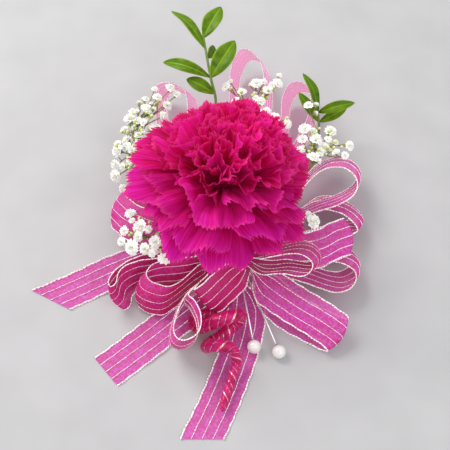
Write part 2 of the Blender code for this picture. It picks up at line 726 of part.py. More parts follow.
# Leafy sprigs: stem points, stem radius and leaves. A leaf has its base, tip,
# half width, the way its upper face looks and its arch.
SPRIGS = {
    "tall": (
        [(-1.3, -2.2, 8.2), (5.0, 3.0, 9.8), (7.0, 10.0, 12.0), (5.5, 21.0, 15.0), (0.0, 36.0, 16.8),
         (-3.6, 50.0, 17.0), (-4.3, 58.0, 20.5), (-4.4, 65.0, 27.0), (-6.6, 72.5, 32.0), (-9.0, 86.0, 36.0),
         (-10.3, 93.0, 38.3)],
        0.9,
        [((-9.0, 86.5, 36.0), (-25.0, 105.5, 42.0), 2.9, (0.8, 0.2, 0.6), 0.10),
         ((-10.0, 92.0, 38.0), (-1.9, 107.5, 42.0), 4.2, (-0.2, -0.5, 0.8), 0.05),
         ((-6.8, 73.0, 32.3), (4.6, 90.0, 38.0), 4.6, (-0.1, -0.6, 0.8), 0.05),
         ((-7.0, 73.0, 32.2), (-28.8, 81.0, 33.0), 3.0, (0.2, -0.4, 0.9), 0.20),
         ((-4.6, 66.0, 27.5), (-17.8, 73.0, 30.5), 3.2, (0.0, -0.4, 0.9), 0.16),
         ((-8.2, 82.0, 35.0), (-5.0, 91.0, 33.0), 2.4, (0.6, -0.4, 0.6), 0.05)]),
    "right": (
        [(1.9, -1.2, 7.2), (10.0, 0.0, 10.6), (20.0, 14.0, 14.2), (34.0, 36.0, 14.0), (41.0, 48.0, 12.4),
         (43.8, 55.0, 14.6), (43.4, 62.0, 19.6)],
        0.8,
        [((43.4, 62.0, 19.6), (36.4, 77.0, 30.0), 2.3, (0.8, -0.1, 0.5), 0.12),
         ((43.4, 62.0, 19.6), (59.8, 62.6, 26.0), 2.6, (0.0, -0.5, 0.9), 0.20),
         ((43.2, 59.0, 17.0), (56.6, 63.0, 21.5), 2.3, (0.0, -0.6, 0.8), 0.08),
         ((43.2, 59.0, 17.0), (34.4, 70.0, 24.5), 2.2, (0.4, -0.5, 0.7), 0.06)]),
}


def make_sprigs(material, seat):
    """Each leafy sprig as one solid, its leaves sunk into the stem."""
    for name, (stem, radius, leaves) in SPRIGS.items():
        path = smooth_curve(stem, 2)
        radii = [radius * (1.0 - 0.4 * i / (len(path) - 1)) for i in range(len(path))]
        blades = []
        for base, tip, half_width, up, arch in leaves:
            joint = min(path[2:], key=lambda p: (p - Vector(base)).length)
            blades.append(leaf_mesh(joint, tip, half_width, up, arch))
        fused("leaf_sprig_" + name, tube_mesh(path, radii, 5), blades, material, seat)


# Baby's breath: the main stalk of each spray and its open florets, as points,
# with the size of each floret.
SPRAYS = {
    "left_rear": (
        [(-5.2, -2.2, 5.2), (-5.1, -1.0, 10.0), (-8.4, 1.2, 15.4), (-14.0, 6.0, 17.0),
         (-24.0, 20.0, 17.4), (-36.0, 36.0, 17.0), (-43.0, 52.0, 18.0)],
        [((-25.5, 71.0, 26.0), 1.0), ((-31.5, 66.5, 25.0), 0.9), ((-27.0, 64.0, 22.0), 1.0),
         ((-36.5, 62.0, 22.0), 1.1),
         ((-44.0, 58.0, 20.0), 1.2), ((-31.5, 52.0, 19.0), 1.4),
         ((-25.0, 54.0, 19.0), 1.1), ((-39.5, 49.0, 19.0), 0.9),
         ((-49.0, 42.5, 16.0), 1.2), ((-45.0, 44.0, 17.0), 1.0), ((-50.0, 37.0, 13.0), 1.0),
         ((-49.5, 31.5, 12.0), 1.2), ((-45.8, 25.0, 11.0), 0.9)]),
    "rear": (
        [(0.7, -4.1, 8.7), (5.2, 0.2, 11.2), (9.2, 12.0, 14.0), (10.0, 30.0, 16.8), (10.0, 48.0, 17.2),
         (11.0, 56.0, 19.0), (12.0, 62.0, 21.0)],
        [((0.5, 72.0, 26.0), 0.9), ((7.8, 68.0, 27.0), 0.9), ((14.5, 73.0, 27.0), 1.2),
         ((19.5, 69.0, 27.0), 0.9), ((24.5, 74.0, 26.0), 1.0), ((12.5, 62.0, 24.0), 1.2),
         ((1.2, 60.0, 24.0), 1.0), ((23.0, 57.0, 22.0), 1.1), ((28.5, 55.0, 20.0), 1.0)]),
    "right": (
        [(3.2, -0.8, 5.2), (9.0, 1.0, 8.4), (20.0, 10.5, 12.4), (33.0, 26.0, 13.6), (41.0, 38.0, 14.0),
         (45.0, 46.0, 16.0)],
        [((38.5, 62.5, 24.0), 0.9), ((36.5, 51.0, 21.0), 1.2), ((35.5, 46.0, 20.0), 1.0),
         ((41.5, 46.0, 20.0), 1.2), ((45.0, 43.0, 18.0), 1.1), ((34.0, 41.0, 18.0), 1.0),
         ((39.5, 36.5, 19.0), 1.2), ((48.5, 52.0, 18.0), 1.2), ((56.5, 42.5, 20.0), 0.9),
         ((54.0, 37.0, 20.0), 0.8)]),
    "left_front": (
        [(-3.2, -4.4, 6.8), (-4.2, -2.3, 11.6), (-8.4, -2.2, 16.4), (-14.0, -4.0, 18.4), (-26.0, -6.0, 21.0),
         (-34.0, -8.0, 22.5)],
        [((-40.5, 3.0, 24.0), 1.0), ((-42.5, -5.5, 24.0), 0.9), ((-36.0, -4.0, 25.0), 1.3),
         ((-39.0, -13.5, 24.0), 1.3), ((-33.5, -14.5, 24.5), 1.0), ((-29.0, -12.0, 26.0), 1.1),
         ((-25.0, -19.5, 25.5), 1.1)]),
    "right_front": (
        [(2.9, -4.3, 8.4), (9.6, -2.6, 14.2), (20.0, 0.0, 19.4), (29.0, 2.0, 21.4), (34.0, 1.0, 22.5)],
        [((37.5, -1.0, 24.0), 1.3), ((35.5, 2.5, 24.5), 0.7)]),
}
TWIG_LENGTH = 13.0


def floret_mesh(centre, size, up, points=5):
    """A small five-pointed floret, thicker in the middle."""
    up = Vector(up).normalized()
    side = up.orthogonal().normalized()
    other = up.cross(side)
    radius = FLORET_RADIUS * size
    verts = [centre + up * (0.45 * radius)]
    for k in range(points * 2):
        turn = math.pi * k / points
        reach = radius if k % 2 == 0 else 0.58 * radius
        drop = 0.18 * radius if k % 2 == 0 else 0.0
        verts.append(centre + (side * math.cos(turn) + other * math.sin(turn)) * reach + up * drop)
    verts.append(centre - up * (0.75 * radius))
    faces = []
    last = len(verts) - 1
    ring = points * 2
    for k in range(ring):
        a = 1 + k
        b = 1 + (k + 1) % ring
        faces += [(0, a, b), (last, b, a)]
    return verts, faces


def bud_mesh(centre, up):
    """A closed bud, a small four-sided spindle."""
    frame = Matrix.Translation(centre) @ up.to_track_quat("Z", "Y").to_matrix().to_4x4()
    profile = [(0.0, -BUD_RADIUS * 1.3), (BUD_RADIUS, 0.0), (0.0, BUD_RADIUS * 1.2)]
    return turned_mesh(profile, 4, frame)


def make_sprays(material, seat):
    """Each spray of baby's breath as one solid with forking stalks."""
    draw = random.Random(SEED + 1)
    for name, (stalk, florets) in SPRAYS.items():
        path = smooth_curve(stalk, 2)
        radii = [0.75 - 0.2 * i / (len(path) - 1) for i in range(len(path))]
        parts = []
        for index, (point, size) in enumerate(florets):
            head = Vector(point)
            start = min(path[len(path) // 2:], key=lambda p: abs((p - head).length - TWIG_LENGTH))
            reach = head - start
            stop = head - reach.normalized() * (0.2 * FLORET_RADIUS * size)
            parts.append(tube_mesh([start, stop], [TWIG_RADIUS] * 2, 3))
            parts.append(floret_mesh(head, size, reach.normalized() + Vector((0.0, -0.3, 0.9))))
            if index % 2 == 0:
                away = Vector((draw.uniform(-1, 1), draw.uniform(-1, 1), draw.uniform(0.2, 1.0)))
                away = (away + reach.normalized()).normalized()
                bud = start + reach * draw.uniform(0.4, 0.6) + away * BUD_RADIUS
                parts.append(bud_mesh(bud, away))
        fused("babys_breath_" + name, tube_mesh(path, radii, 4), parts, material, seat)


def seat_on_surface(seat):
    """Move everything so that the corsage stands over the world's origin."""
    bpy.context.view_layer.update()
    depsgraph = bpy.context.evaluated_depsgraph_get()
    low = Vector((1e9, 1e9, 1e9))
    high = -low
    for piece in bpy.context.scene.objects:
        if piece.type != "MESH":
            continue
        shape = piece.evaluated_get(depsgraph)
        for vertex in shape.data.vertices:
            point = shape.matrix_world @ vertex.co
            low = Vector(map(min, low, point))
            high = Vector(map(max, high, point))
    seat.location = (-(low.x + high.x) / 2, -(low.y + high.y) / 2, -low.z)


def build():
    """Make every piece of the corsage."""
    clear_scene()
    seat = bpy.data.objects.new("corsage", None)
    bpy.context.scene.collection.objects.link(seat)

    petal_pink = make_material("petal", (0.66, 0.0, 0.12), 0.6)
    green = make_material("leaf", (0.10, 0.28, 0.03), 0.45)
    breath = make_material("babys_breath", (0.86, 0.88, 0.78), 0.7)
    tape = make_material("floral_tape", (0.08, 0.16, 0.05), 0.8)
    ribbon = make_material("ribbon", (0.55, 0.05, 0.28), 0.35)
    steel = make_material("pin_steel", (0.8, 0.8, 0.8), 0.25, 1.0)
    pearl = make_material("pearl", (0.9, 0.87, 0.84), 0.2)

    make_petals(petal_pink, seat)
    make_calyx(green, seat)
    make_stem(tape, ribbon, seat)
    make_tape(tape, seat)
    make_tie(ribbon, seat)
    make_ribbons(ribbon, seat)
    make_pins(steel, pearl, seat)
    make_sprigs(green, seat)
    make_sprays(breath, seat)
    seat_on_surface(seat)


build()
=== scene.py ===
"""A carnation corsage lying on its back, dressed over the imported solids.

One hot-pink double carnation with two leafy sprigs and baby's breath, bound
below the flower head by a bow of sheer ribbon with metallic threads. The stem
runs on in a curled ribbon sleeve, and two pearl-headed pins stand in the bow.
Points are in millimetres from the florist's tie point; SEAT is that point's
place in the frame.
"""
import math
import random

import bpy
import numpy as np
from mathutils import Matrix, Vector, noise


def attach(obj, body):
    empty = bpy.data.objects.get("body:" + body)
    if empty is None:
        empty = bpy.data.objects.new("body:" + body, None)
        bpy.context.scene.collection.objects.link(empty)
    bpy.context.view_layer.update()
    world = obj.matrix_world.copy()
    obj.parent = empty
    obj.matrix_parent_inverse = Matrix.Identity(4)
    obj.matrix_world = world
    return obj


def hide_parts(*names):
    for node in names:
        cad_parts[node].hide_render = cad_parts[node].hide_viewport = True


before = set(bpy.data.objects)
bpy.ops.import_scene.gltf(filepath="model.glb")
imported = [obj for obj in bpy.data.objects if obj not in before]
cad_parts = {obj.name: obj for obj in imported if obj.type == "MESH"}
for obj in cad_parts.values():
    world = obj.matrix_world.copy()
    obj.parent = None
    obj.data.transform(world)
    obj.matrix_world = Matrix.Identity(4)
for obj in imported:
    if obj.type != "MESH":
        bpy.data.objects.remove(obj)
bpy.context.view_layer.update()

# The surface, the light and the view.
# The corsage lies on a plain pale table under a broad soft light from the
# upper left, and is looked at from its curled stem, well above it.

MM = 0.001
SEAT = np.array((10.75, -9.69, 0.02))
TABLE_REACH = 3.0
ROOM_LIGHT = 0.62
VIEW_HEIGHT = math.radians(58.0)
VIEW_DISTANCE = 400.0
VIEW_AIM = np.array((0.0, 0.0, 20.0))
# The lens: half the picture's width over its focal length, both in pixels.
HALF_PICTURE = 225.0
FOCAL_LENGTH = 930.0


class Finish:
    """A material being mixed: its main shader and the steps that feed it."""

    def __init__(self, name, roughness=0.5, metallic=0.0):
        self.material = bpy.data.materials.new(name)
        self.material.use_nodes = True
        self.tree = self.material.node_tree
        self.shader = self.tree.nodes["Principled BSDF"]
        self.wear({"Roughness": roughness, "Metallic": metallic})

    def feed(self, socket, value):
        """Link a socket to another's output, or set it to a number or colour."""
        if isinstance(value, bpy.types.NodeSocket):
            self.tree.links.new(value, socket)
        else:
            socket.default_value = (*value, 1.0) if isinstance(value, tuple) else value

    def wear(self, looks):
        """Feed the main shader's sockets, by their names."""
        for name, value in looks.items():
            self.feed(self.shader.inputs[name], value)

    def step(self, kind, inputs, **settings):
        """A node of some kind, fed by the name or number of its sockets."""
        made = self.tree.nodes.new("ShaderNode" + kind)
        for name, value in settings.items():
            setattr(made, name, value)
        for name, value in inputs.items():
            self.feed(made.inputs[name], value)
        return made

    def calc(self, operation, a, b=0.0, c=0.0):
        """A sum on one or more numbers."""
        return self.step("Math", {0: a, 1: b, 2: c}, operation=operation).outputs[0]

    def times(self, a, b, plus=0.0):
        """One number times another, plus a third."""
        return self.calc("MULTIPLY_ADD", a, b, plus)

    def waves(self, value, count):
        """A sine that runs count times while a value goes from 0 to 1."""
        return self.calc("SINE", self.times(value, math.tau * count))

    def ramp(self, value, *stops):
        """A shade that runs through stops of (place, colour or grey)."""
        made = self.step("ValToRGB", {0: value})
        marks = made.color_ramp.elements
        while len(marks) < len(stops):
            marks.new(0.5)
        for mark, (place, shade) in zip(marks, stops):
            mark.position = place
            mark.color = (*shade, 1.0) if isinstance(shade, tuple) else (shade, shade, shade, 1.0)
        return made.outputs[0]

    def dye(self, shade, *coats):
        """A shade with coats of (amount, colour) mixed over it in turn."""
        for amount, colour in coats:
            shade = self.step("Mix", {0: amount, 6: shade, 7: colour}, data_type="RGBA").outputs[2]
        return shade

    def here(self):
        """The place on the piece."""
        return self.step("TexCoord", {}).outputs["Object"]

    def mottle(self, scale, detail=2.0, place=None):
        """Cloudy noise, about 0.5 on average, by place on the piece."""
        place = place or self.here()
        return self.step("TexNoise", {"Scale": scale, "Detail": detail, "Vector": place}).outputs["Fac"]

    def streaks(self, detail, *axes):
        """Noise over three values, each stretched by its own scale."""
        spots = {k: self.times(value, scale) for k, (value, scale) in enumerate(axes)}
        return self.mottle(1.0, detail, self.step("CombineXYZ", spots).outputs[0])

    def mark(self, label):
        """The two numbers of a mark as separate sockets."""
        source = self.step("UVMap", {}, uv_map=label).outputs["UV"]
        return self.step("SeparateXYZ", {0: source}).outputs[:2]

    def emboss(self, height, depth, strength):
        """Relief on the shader from a height, depth in metres."""
        bump = self.step("Bump", {"Strength": strength, "Distance": depth, "Height": height})
        self.wear({"Normal": bump.outputs["Normal"]})


def in_scene(name, data):
    """A new object in the scene."""
    made = bpy.data.objects.new(name, data)
    bpy.context.scene.collection.objects.link(made)
    return made


def lay_table():
    """The plain surface under the corsage."""
    pale = Finish("pale_table", 0.85)
    shade = pale.ramp(pale.mottle(40.0), (0.3, (0.49, 0.49, 0.50)), (0.7, (0.53, 0.53, 0.54)))
    pale.wear({"Base Color": shade})
    mesh = bpy.data.meshes.new("table")
    corners = [(TABLE_REACH * x, TABLE_REACH * y, 0) for x, y in ((-1, -1), (1, -1), (1, 1), (-1, 1))]
    mesh.from_pydata(corners, [], [(0, 1, 2, 3)])
    mesh.materials.append(pale.material)
    in_scene("table", mesh)


def soft_light(name, place, width, watts, tint):
    """A square lamp at a place, turned to the flower, all in millimetres."""
    lamp = bpy.data.lights.new(name, "AREA")
    lamp.size = width * MM
    lamp.energy = watts
    lamp.color = tint
    holder = in_scene(name, lamp)
    holder.location = Vector(place) * MM
    holder.rotation_euler = (Vector(VIEW_AIM) - Vector(place)).to_track_quat("-Z", "Y").to_euler()


def fill_room():
    """Even white light from all round."""
    air = bpy.data.worlds.new("room_air")
    air.use_nodes = True
    sky = air.node_tree.nodes["Background"]
    sky.inputs["Color"].default_value = (1.0, 1.0, 1.0, 1.0)
    sky.inputs["Strength"].default_value = ROOM_LIGHT
    bpy.context.scene.world = air
    bpy.context.scene.view_settings.view_transform = "Standard"


def set_view():
    """The camera, on the side of the curled stem."""
    lens = bpy.data.cameras.new("view")
    lens.sensor_width = 36.0
    lens.angle = 2.0 * math.atan(HALF_PICTURE / FOCAL_LENGTH)
    lens.clip_start = 0.01
    viewer = in_scene("view", lens)
    away = np.array((0.0, -math.cos(VIEW_HEIGHT), math.sin(VIEW_HEIGHT)))
    viewer.location = Vector((VIEW_AIM + VIEW_DISTANCE * away + SEAT) * MM)
    viewer.rotation_euler = (math.pi / 2 - VIEW_HEIGHT, 0.0, 0.0)
    bpy.context.scene.camera = viewer


lay_table()
soft_light("window_light", (-420, 360, 640), 520, 5.6, (1.0, 0.98, 0.96))
soft_light("fill_light", (380, -420, 520), 600, 1.6, (0.97, 0.98, 1.0))
fill_room()
set_view()


# Taped stem and florist's tape.
# The flower's wired stem is wound with waxed green crepe tape, which also
# binds the greens to it. Most of it is hidden under the bow and its sleeve.

def tape_finish():
    """Waxed crepe paper: fine ribs across the winding, slightly blotched."""
    tape = Finish("waxed_tape", 0.62)
    blotch = tape.mottle(900.0, 4.0)
    tape.wear({"Base Color": tape.ramp(blotch, (0.3, (0.045, 0.11, 0.025)), (0.7, (0.12, 0.24, 0.06)))})
    ribs = tape.step("TexWave", {"Scale": 700.0, "Distortion": 3.0, "Vector": tape.here()})
    tape.emboss(ribs.outputs["Fac"], 0.0003, 0.7)
    return tape.material


CREPE = tape_finish()
for node in ("stem_core", "floral_tape"):
    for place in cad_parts[node].material_slots:
        place.material = CREPE


# Calyx of the carnation.
# A green cup with five pointed teeth that holds the petals' claws together,
# grown in one with the stem. It is seen only from the side and from below.

FLOWER_FOOT = Vector((-1.3, 9.0, 29.0))
LEAN = np.array(Matrix.Rotation(math.radians(-12.0), 3, "X") @ Matrix.Rotation(math.radians(3.0), 3, "Y"))
FLAT_X, FLAT_Y, UP = np.eye(3)
# Radius and height of the cup's rings, then radius and share of the teeth's
# height for those of its lip, which turns back inwards.
CALYX_WALL = ((3.0, -22.5), (4.6, -21.6), (5.4, -19.0), (6.2, -16.0), (6.8, -12.0), (7.2, -8.0),
              (7.4, -4.0), (7.3, -1.5), (7.7, 0.0))
CALYX_LIP = ((7.9, 0.55), (8.1, 1.0), (7.7, 0.96), (7.2, 0.4), (6.6, -0.2))
CALYX_TEETH = 5
TOOTH_HEIGHT = 4.2


def on_flower(points):
    """Points on the flower's own axis, taken to their place."""
    return points @ LEAN.T + np.array(FLOWER_FOOT)


def turns(count):
    """Angles evenly round a circle."""
    return np.arange(count) * math.tau / count


def ring(centre, reach, turn, side, other):
    """Points round a centre, from two directions square to each other."""
    spokes = np.cos(turn)[:, None] * side + np.sin(turn)[:, None] * other
    return centre + np.reshape(reach, (-1, 1)) * spokes


def sheet_faces(rows, columns, wrapped=False):
    """Four-sided faces over a grid of points, row by row."""
    i, k = np.meshgrid(np.arange(rows - 1), np.arange(columns if wrapped else columns - 1), indexing="ij")
    right = (k + 1) % columns
    corners = [i * columns + k, i * columns + right, (i + 1) * columns + right, (i + 1) * columns + k]
    return np.stack(corners, -1).reshape(-1, 4).tolist()


def sheet_marks(along, across, *part):
    """Marks for a grid of points: 0 to 1 across it, its place along, and two
    numbers that are the same all over it."""
    marks = np.zeros((len(along) * len(across), 4))
    marks[:, 0] = np.tile(across, len(along))
    marks[:, 1] = np.repeat(along, len(across))
    marks[:, 2:4] = part
    return marks


def tube(rings, along, foot=False, head=False, part=(0.0, 0.0)):
    """Rings joined into a tube, with or without a face over either end."""
    around = len(rings[0])
    faces = sheet_faces(len(rings), around, True)
    if foot:
        faces.append(list(range(around - 1, -1, -1)))
    if head:
        faces.append([(len(rings) - 1) * around + k for k in range(around)])
    return np.vstack(rings), faces, sheet_marks(along, turns(around) / math.tau, *part)


def make_piece(name, shape, finish, slot, *nodes):
    """A piece from points in millimetres, faces and marks, in place of nodes.
    Marks are four numbers a point: its place across and along the piece, and
    two that vary by part."""
    points, faces, marks = shape
    mesh = bpy.data.meshes.new(name)
    mesh.from_pydata(((points + SEAT) * MM).tolist(), [], faces)
    corner = np.empty(len(mesh.loops), dtype=np.int32)
    mesh.loops.foreach_get("vertex_index", corner)
    marks = marks.astype(np.float32)[corner]
    for label, pair in (("place", marks[:, 0:2]), ("part", marks[:, 2:4])):
        mesh.uv_layers.new(name=label).data.foreach_set("uv", np.ascontiguousarray(pair).ravel())
    mesh.materials.append(finish)
    mesh.shade_smooth()
    piece = in_scene(name, mesh)
    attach(piece, "root")
    for node in nodes:
        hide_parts(node)
    return piece


def calyx_finish():
    """Smooth waxy green, paler at the teeth, with faint lengthwise veins."""
    green = Finish("calyx_green", 0.42)
    round_it, up_it = green.mark("place")
    vein = green.waves(round_it, 40)
    shade = green.ramp(up_it, (0.0, (0.10, 0.22, 0.03)), (0.7, (0.17, 0.33, 0.07)), (1.0, (0.32, 0.45, 0.14)))
    shade = green.dye(shade, (green.times(vein, 0.12, 0.12), (0.06, 0.15, 0.02)))
    green.wear({"Base Color": shade})
    green.emboss(vein, 0.0001, 0.6)
    return green.material


def make_calyx():
    """The cup, its teeth and the rolled lip that turns back into it."""
    turn = turns(60)
    tooth = np.abs(((turn * CALYX_TEETH / math.tau) % 1.0) - 0.5) * 2.0
    rings = [ring(height * UP, radius, turn, FLAT_X, FLAT_Y) for radius, height in CALYX_WALL]
    for radius, rise in CALYX_LIP:
        height = TOOTH_HEIGHT * tooth * rise
        rings.append(ring(np.outer(height, UP), radius + 0.08 * height, turn, FLAT_X, FLAT_Y))
    along = np.concatenate([np.arange(9), 9 + 0.7 * np.arange(5)]) / 12
    points, faces, marks = tube(rings, along, foot=True)
    make_piece("calyx", (on_flower(points), faces, marks), calyx_finish(), "leaf", "carnation_calyx")


make_calyx()


# Petals of the carnation.
# Thin fringed petals in ten whorls: the outer ones lie out flat and droop at
# the front, the inner ones stand crumpled. Each is a fan on a narrow claw.

PETAL_ROWS = 14
PETAL_COLUMNS = 66
CLAW_REACH = 2.0
CLAW_HEIGHT = 4.0
# For each whorl: petals, reach and height of the tips, reach and height of the
# bend, half width, folds across, their depth, and how unruly its petals are.
WHORLS = (
    (9, 41.5, -1.0, 16.0, 9.0, 15.5, 1.8, 1.3, 0.4),
    (9, 40.0, 5.0, 15.0, 14.5, 15.0, 2.0, 1.8, 0.6),
    (9, 36.5, 13.0, 14.0, 19.0, 14.5, 2.2, 2.6, 0.8),
    (8, 32.0, 20.5, 14.0, 22.0, 14.0, 2.4, 3.2, 1.0),
    (9, 27.0, 28.0, 15.0, 23.0, 13.5, 2.2, 3.0, 1.0),
    (9, 21.0, 33.5, 14.0, 25.0, 12.5, 2.2, 3.0, 1.0),
    (8, 15.5, 37.0, 12.0, 27.0, 11.5, 2.3, 2.8, 1.0),
    (8, 10.0, 39.5, 9.0, 29.0, 10.0, 2.3, 2.6, 1.0),
    (6, 5.5, 40.5, 6.0, 29.0, 8.5, 2.2, 2.6, 1.0),
    (4, 2.0, 40.5, 3.0, 29.0, 6.5, 2.0, 2.2, 0.8),
)
# Where the flower's middle leans to, and how its outer petals rise at the
# sides and at the left shoulder, hang at the front and spread there.
HEART = np.array((7.0, 9.0, 0.0))
SIDE_RISE = 12.0
SHOULDER_RISE = 11.0
SHOULDER_TURN = 2.75
FRONT_DROP = 5.0
FRONT_SPREAD = 7.0


def ease(value):
    """Ease from 0 to 1."""
    value = np.clip(value, 0.0, 1.0)
    return value * value * (3.0 - 2.0 * value)


def unit(rows):
    """A vector, or each of several in rows, brought to length one."""
    return rows / np.linalg.norm(rows, axis=-1, keepdims=True)


def drift(point, scale, seed):
    """A smooth push at a place, the same on every run."""
    place = Vector(point) * scale
    return np.array([noise.noise(place + Vector((seed, 11.0 * k, -seed))) for k in range(3)])


def fringe(along, across, draw):
    """How far out each point of a petal lies, cut back by jags and lobes."""
    teeth = draw.uniform(11.0, 14.0)
    jag = np.abs(((across * teeth + 0.35 * np.sin(across * 7.0) + draw.random()) % 1.0) * 2.0 - 1.0)
    lobes = 0.5 + 0.5 * np.sin(across * draw.uniform(4.0, 7.0) + draw.uniform(0, 6.3))
    cut = 0.15 * across ** 2 + 0.06 * lobes + (0.035 + 0.035 * lobes) * jag
    return along * (1.0 - cut * ease((along - 0.35) / 0.65) * along)


def ruffle(share, across, spread, folds, depth, unruly, draw):
    """How far each point of a petal stands off its plain fan."""
    shift, other = draw.uniform(0, math.tau), draw.uniform(0, math.tau)
    wave = np.sin(math.pi * folds * across + shift) + 0.45 * np.sin(math.pi * folds * 2.3 * across + other)
    lift = depth * share ** 1.7 * wave
    lift = lift + 0.28 * np.sin(math.pi * 13.0 * across + other) * share ** 2
    tilt = math.tan(math.radians(draw.uniform(8.0, 14.0 + 16.0 * unruly))) * draw.choice((-1, 1, 1))
    lift = lift + tilt * across * spread * 0.7
    lift = lift + draw.uniform(-0.22, 0.24) * unruly * across ** 2 * spread
    return lift + draw.uniform(-3.0, 3.5) * unruly * ease((share - 0.6) / 0.4)


def one_petal(turn, reach, rise, bend_reach, bend_rise, half_width, folds, depth, unruly, whorl, draw):
    """A fan-shaped petal, fringed at its tip and pleated along its length."""
    along = np.linspace(0.0, 1.0, PETAL_ROWS)[:, None] ** 0.85
    across = np.linspace(-1.0, 1.0, PETAL_COLUMNS)[None, :]
    share = fringe(along, across, draw)
    out = np.array((math.cos(turn), math.sin(turn), 0.0))
    side = np.array((math.sin(turn), -math.cos(turn), 0.0))
    centre = HEART * max(0.0, (whorl - 2.0) / 7.0)
    foot = out * CLAW_REACH + UP * CLAW_HEIGHT
    bend = 0.6 * centre + out * bend_reach + UP * bend_rise
    tip = centre + out * reach + UP * (rise + 0.12 * centre[1])
    s = share[..., None]
    points = foot * (1 - s) ** 2 + bend * (2 * s * (1 - s)) + tip * s ** 2
    slope = unit((bend - foot) * (1 - s) + (tip - bend) * s)
    normal = np.cross(np.broadcast_to(side, slope.shape), slope)
    spread = half_width * (0.13 + 0.87 * ease(share * 1.08))
    lift = ruffle(share, across, spread, folds, depth, unruly, draw)
    sway = draw.uniform(-0.16, 0.16) * max(reach, 14.0) * share ** 2
    points = points + side * (across * spread + sway)[..., None] + normal * lift[..., None]
    points = points.reshape(-1, 3)
    seed = draw.uniform(0, 50)
    for point, give in zip(points, share.ravel()):
        push = drift(point, 0.10, seed) * (1.0 + 1.6 * unruly) + drift(point, 0.33, seed + 5.0) * 0.7
        point += push * float(give)
    # The second part number rises with the whorl, and also on the back and side petals, which face the light
    # from the upper left; there it paints the deeper crimson of the inner whorls as painted shade.
    marks = sheet_marks(along.ravel(), across.ravel() * 0.5 + 0.5, draw.random(),
                        whorl / 9.0 + 0.5 * max(0.0, out[1] + 0.6))
    return points, sheet_faces(PETAL_ROWS, PETAL_COLUMNS), marks


def petal_finish():
    """Hot pink petal: deep crimson in the throat, violet-pink at the outer
    tips, partly its own colour and partly painted shade in the throat and
    painted highlight on the tips. A thin salmon rim is a painted highlight on
    the fringe; the fine lengthwise veins have lighter streaks that are partly
    painted highlight. Brighter patches and darker or violet tints from petal
    to petal are painted light and shade, and a painted glow lifts the inner
    whorls. Light comes through it."""
    pink = Finish("carnation_pink", 0.55)
    across, along = pink.mark("place")
    chance, whorl = pink.mark("part")
    # Both ramps run from deep crimson at the throat to violet-pink at the tips: partly the petal's own colour,
    # partly painted shade deep in the flower and painted highlight on the tips.
    outer = pink.ramp(along, (0.25, (0.44, 0.0, 0.03)), (0.6, (0.68, 0.0, 0.13)), (0.95, (0.86, 0.012, 0.56)))
    inner = pink.ramp(along, (0.35, (0.48, 0.0, 0.02)), (0.78, (0.62, 0.0, 0.05)), (0.97, (0.82, 0.008, 0.27)))
    veins = pink.streaks(2.0, (across, 60.0), (along, 2.0), (chance, 30.0))
    shade = pink.dye(
        outer,
        # Inner whorls take the crimson ramp, and so do the back and side petals as painted shade.
        (pink.ramp(whorl, (0.05, 0.0), (0.5, 1.0)), inner),
        # Cloudy brighter pink patches, and per petal a darker crimson or a violet-pink tint, are painted light
        # and shade between the petals.
        (pink.ramp(pink.mottle(130.0, 3.0), (0.45, 0.0), (0.65, 0.5)), (0.92, 0.0, 0.30)),
        (pink.ramp(chance, (0.0, 0.5), (0.45, 0.0)), (0.46, 0.0, 0.03)),
        (pink.ramp(chance, (0.6, 0.0), (1.0, 0.45)), (0.92, 0.02, 0.48)),
        (pink.ramp(veins, (0.34, 0.42), (0.52, 0.0)), (0.50, 0.0, 0.04)),
        # Lighter streaks among the veins: partly vein colour, partly painted highlight.
        (pink.ramp(veins, (0.50, 0.0), (0.66, 0.4)), (0.95, 0.03, 0.50)),
        # A thin salmon rim at the tips: a painted rim highlight.
        (pink.ramp(along, (0.955, 0.0), (0.995, 0.3)), (0.95, 0.14, 0.26)))
    # The emission is a painted glow of the petal's own colour. It is strongest where the second part number is
    # high, in the inner whorls and on the back and sides, and lifts the shade deep in the flower.
    pink.wear({"Base Color": shade, "Specular IOR Level": 0.12,
               "Sheen Weight": 0.12, "Sheen Roughness": 0.5, "Sheen Tint": (1.0, 0.2, 0.75),
               "Emission Color": shade, "Emission Strength": pink.ramp(whorl, (0.5, 0.03), (1.0, 0.20))})
    pink.emboss(veins, 0.0004, 0.6)
    glow = pink.step("BsdfTranslucent", {"Color": shade})
    both = pink.step("MixShader", {0: 0.35, 1: pink.shader.outputs[0], 2: glow.outputs[0]})
    pink.feed(pink.tree.nodes["Material Output"].inputs["Surface"], both.outputs[0])
    return pink.material


def join(parts):
    """Several (points, faces, marks) as one."""
    points, faces, marks = zip(*parts)
    starts = np.cumsum([0] + [len(some) for some in points]).tolist()
    shifted = [[v + start for v in face] for some, start in zip(faces, starts) for face in some]
    return np.vstack(points), shifted, np.vstack(marks)


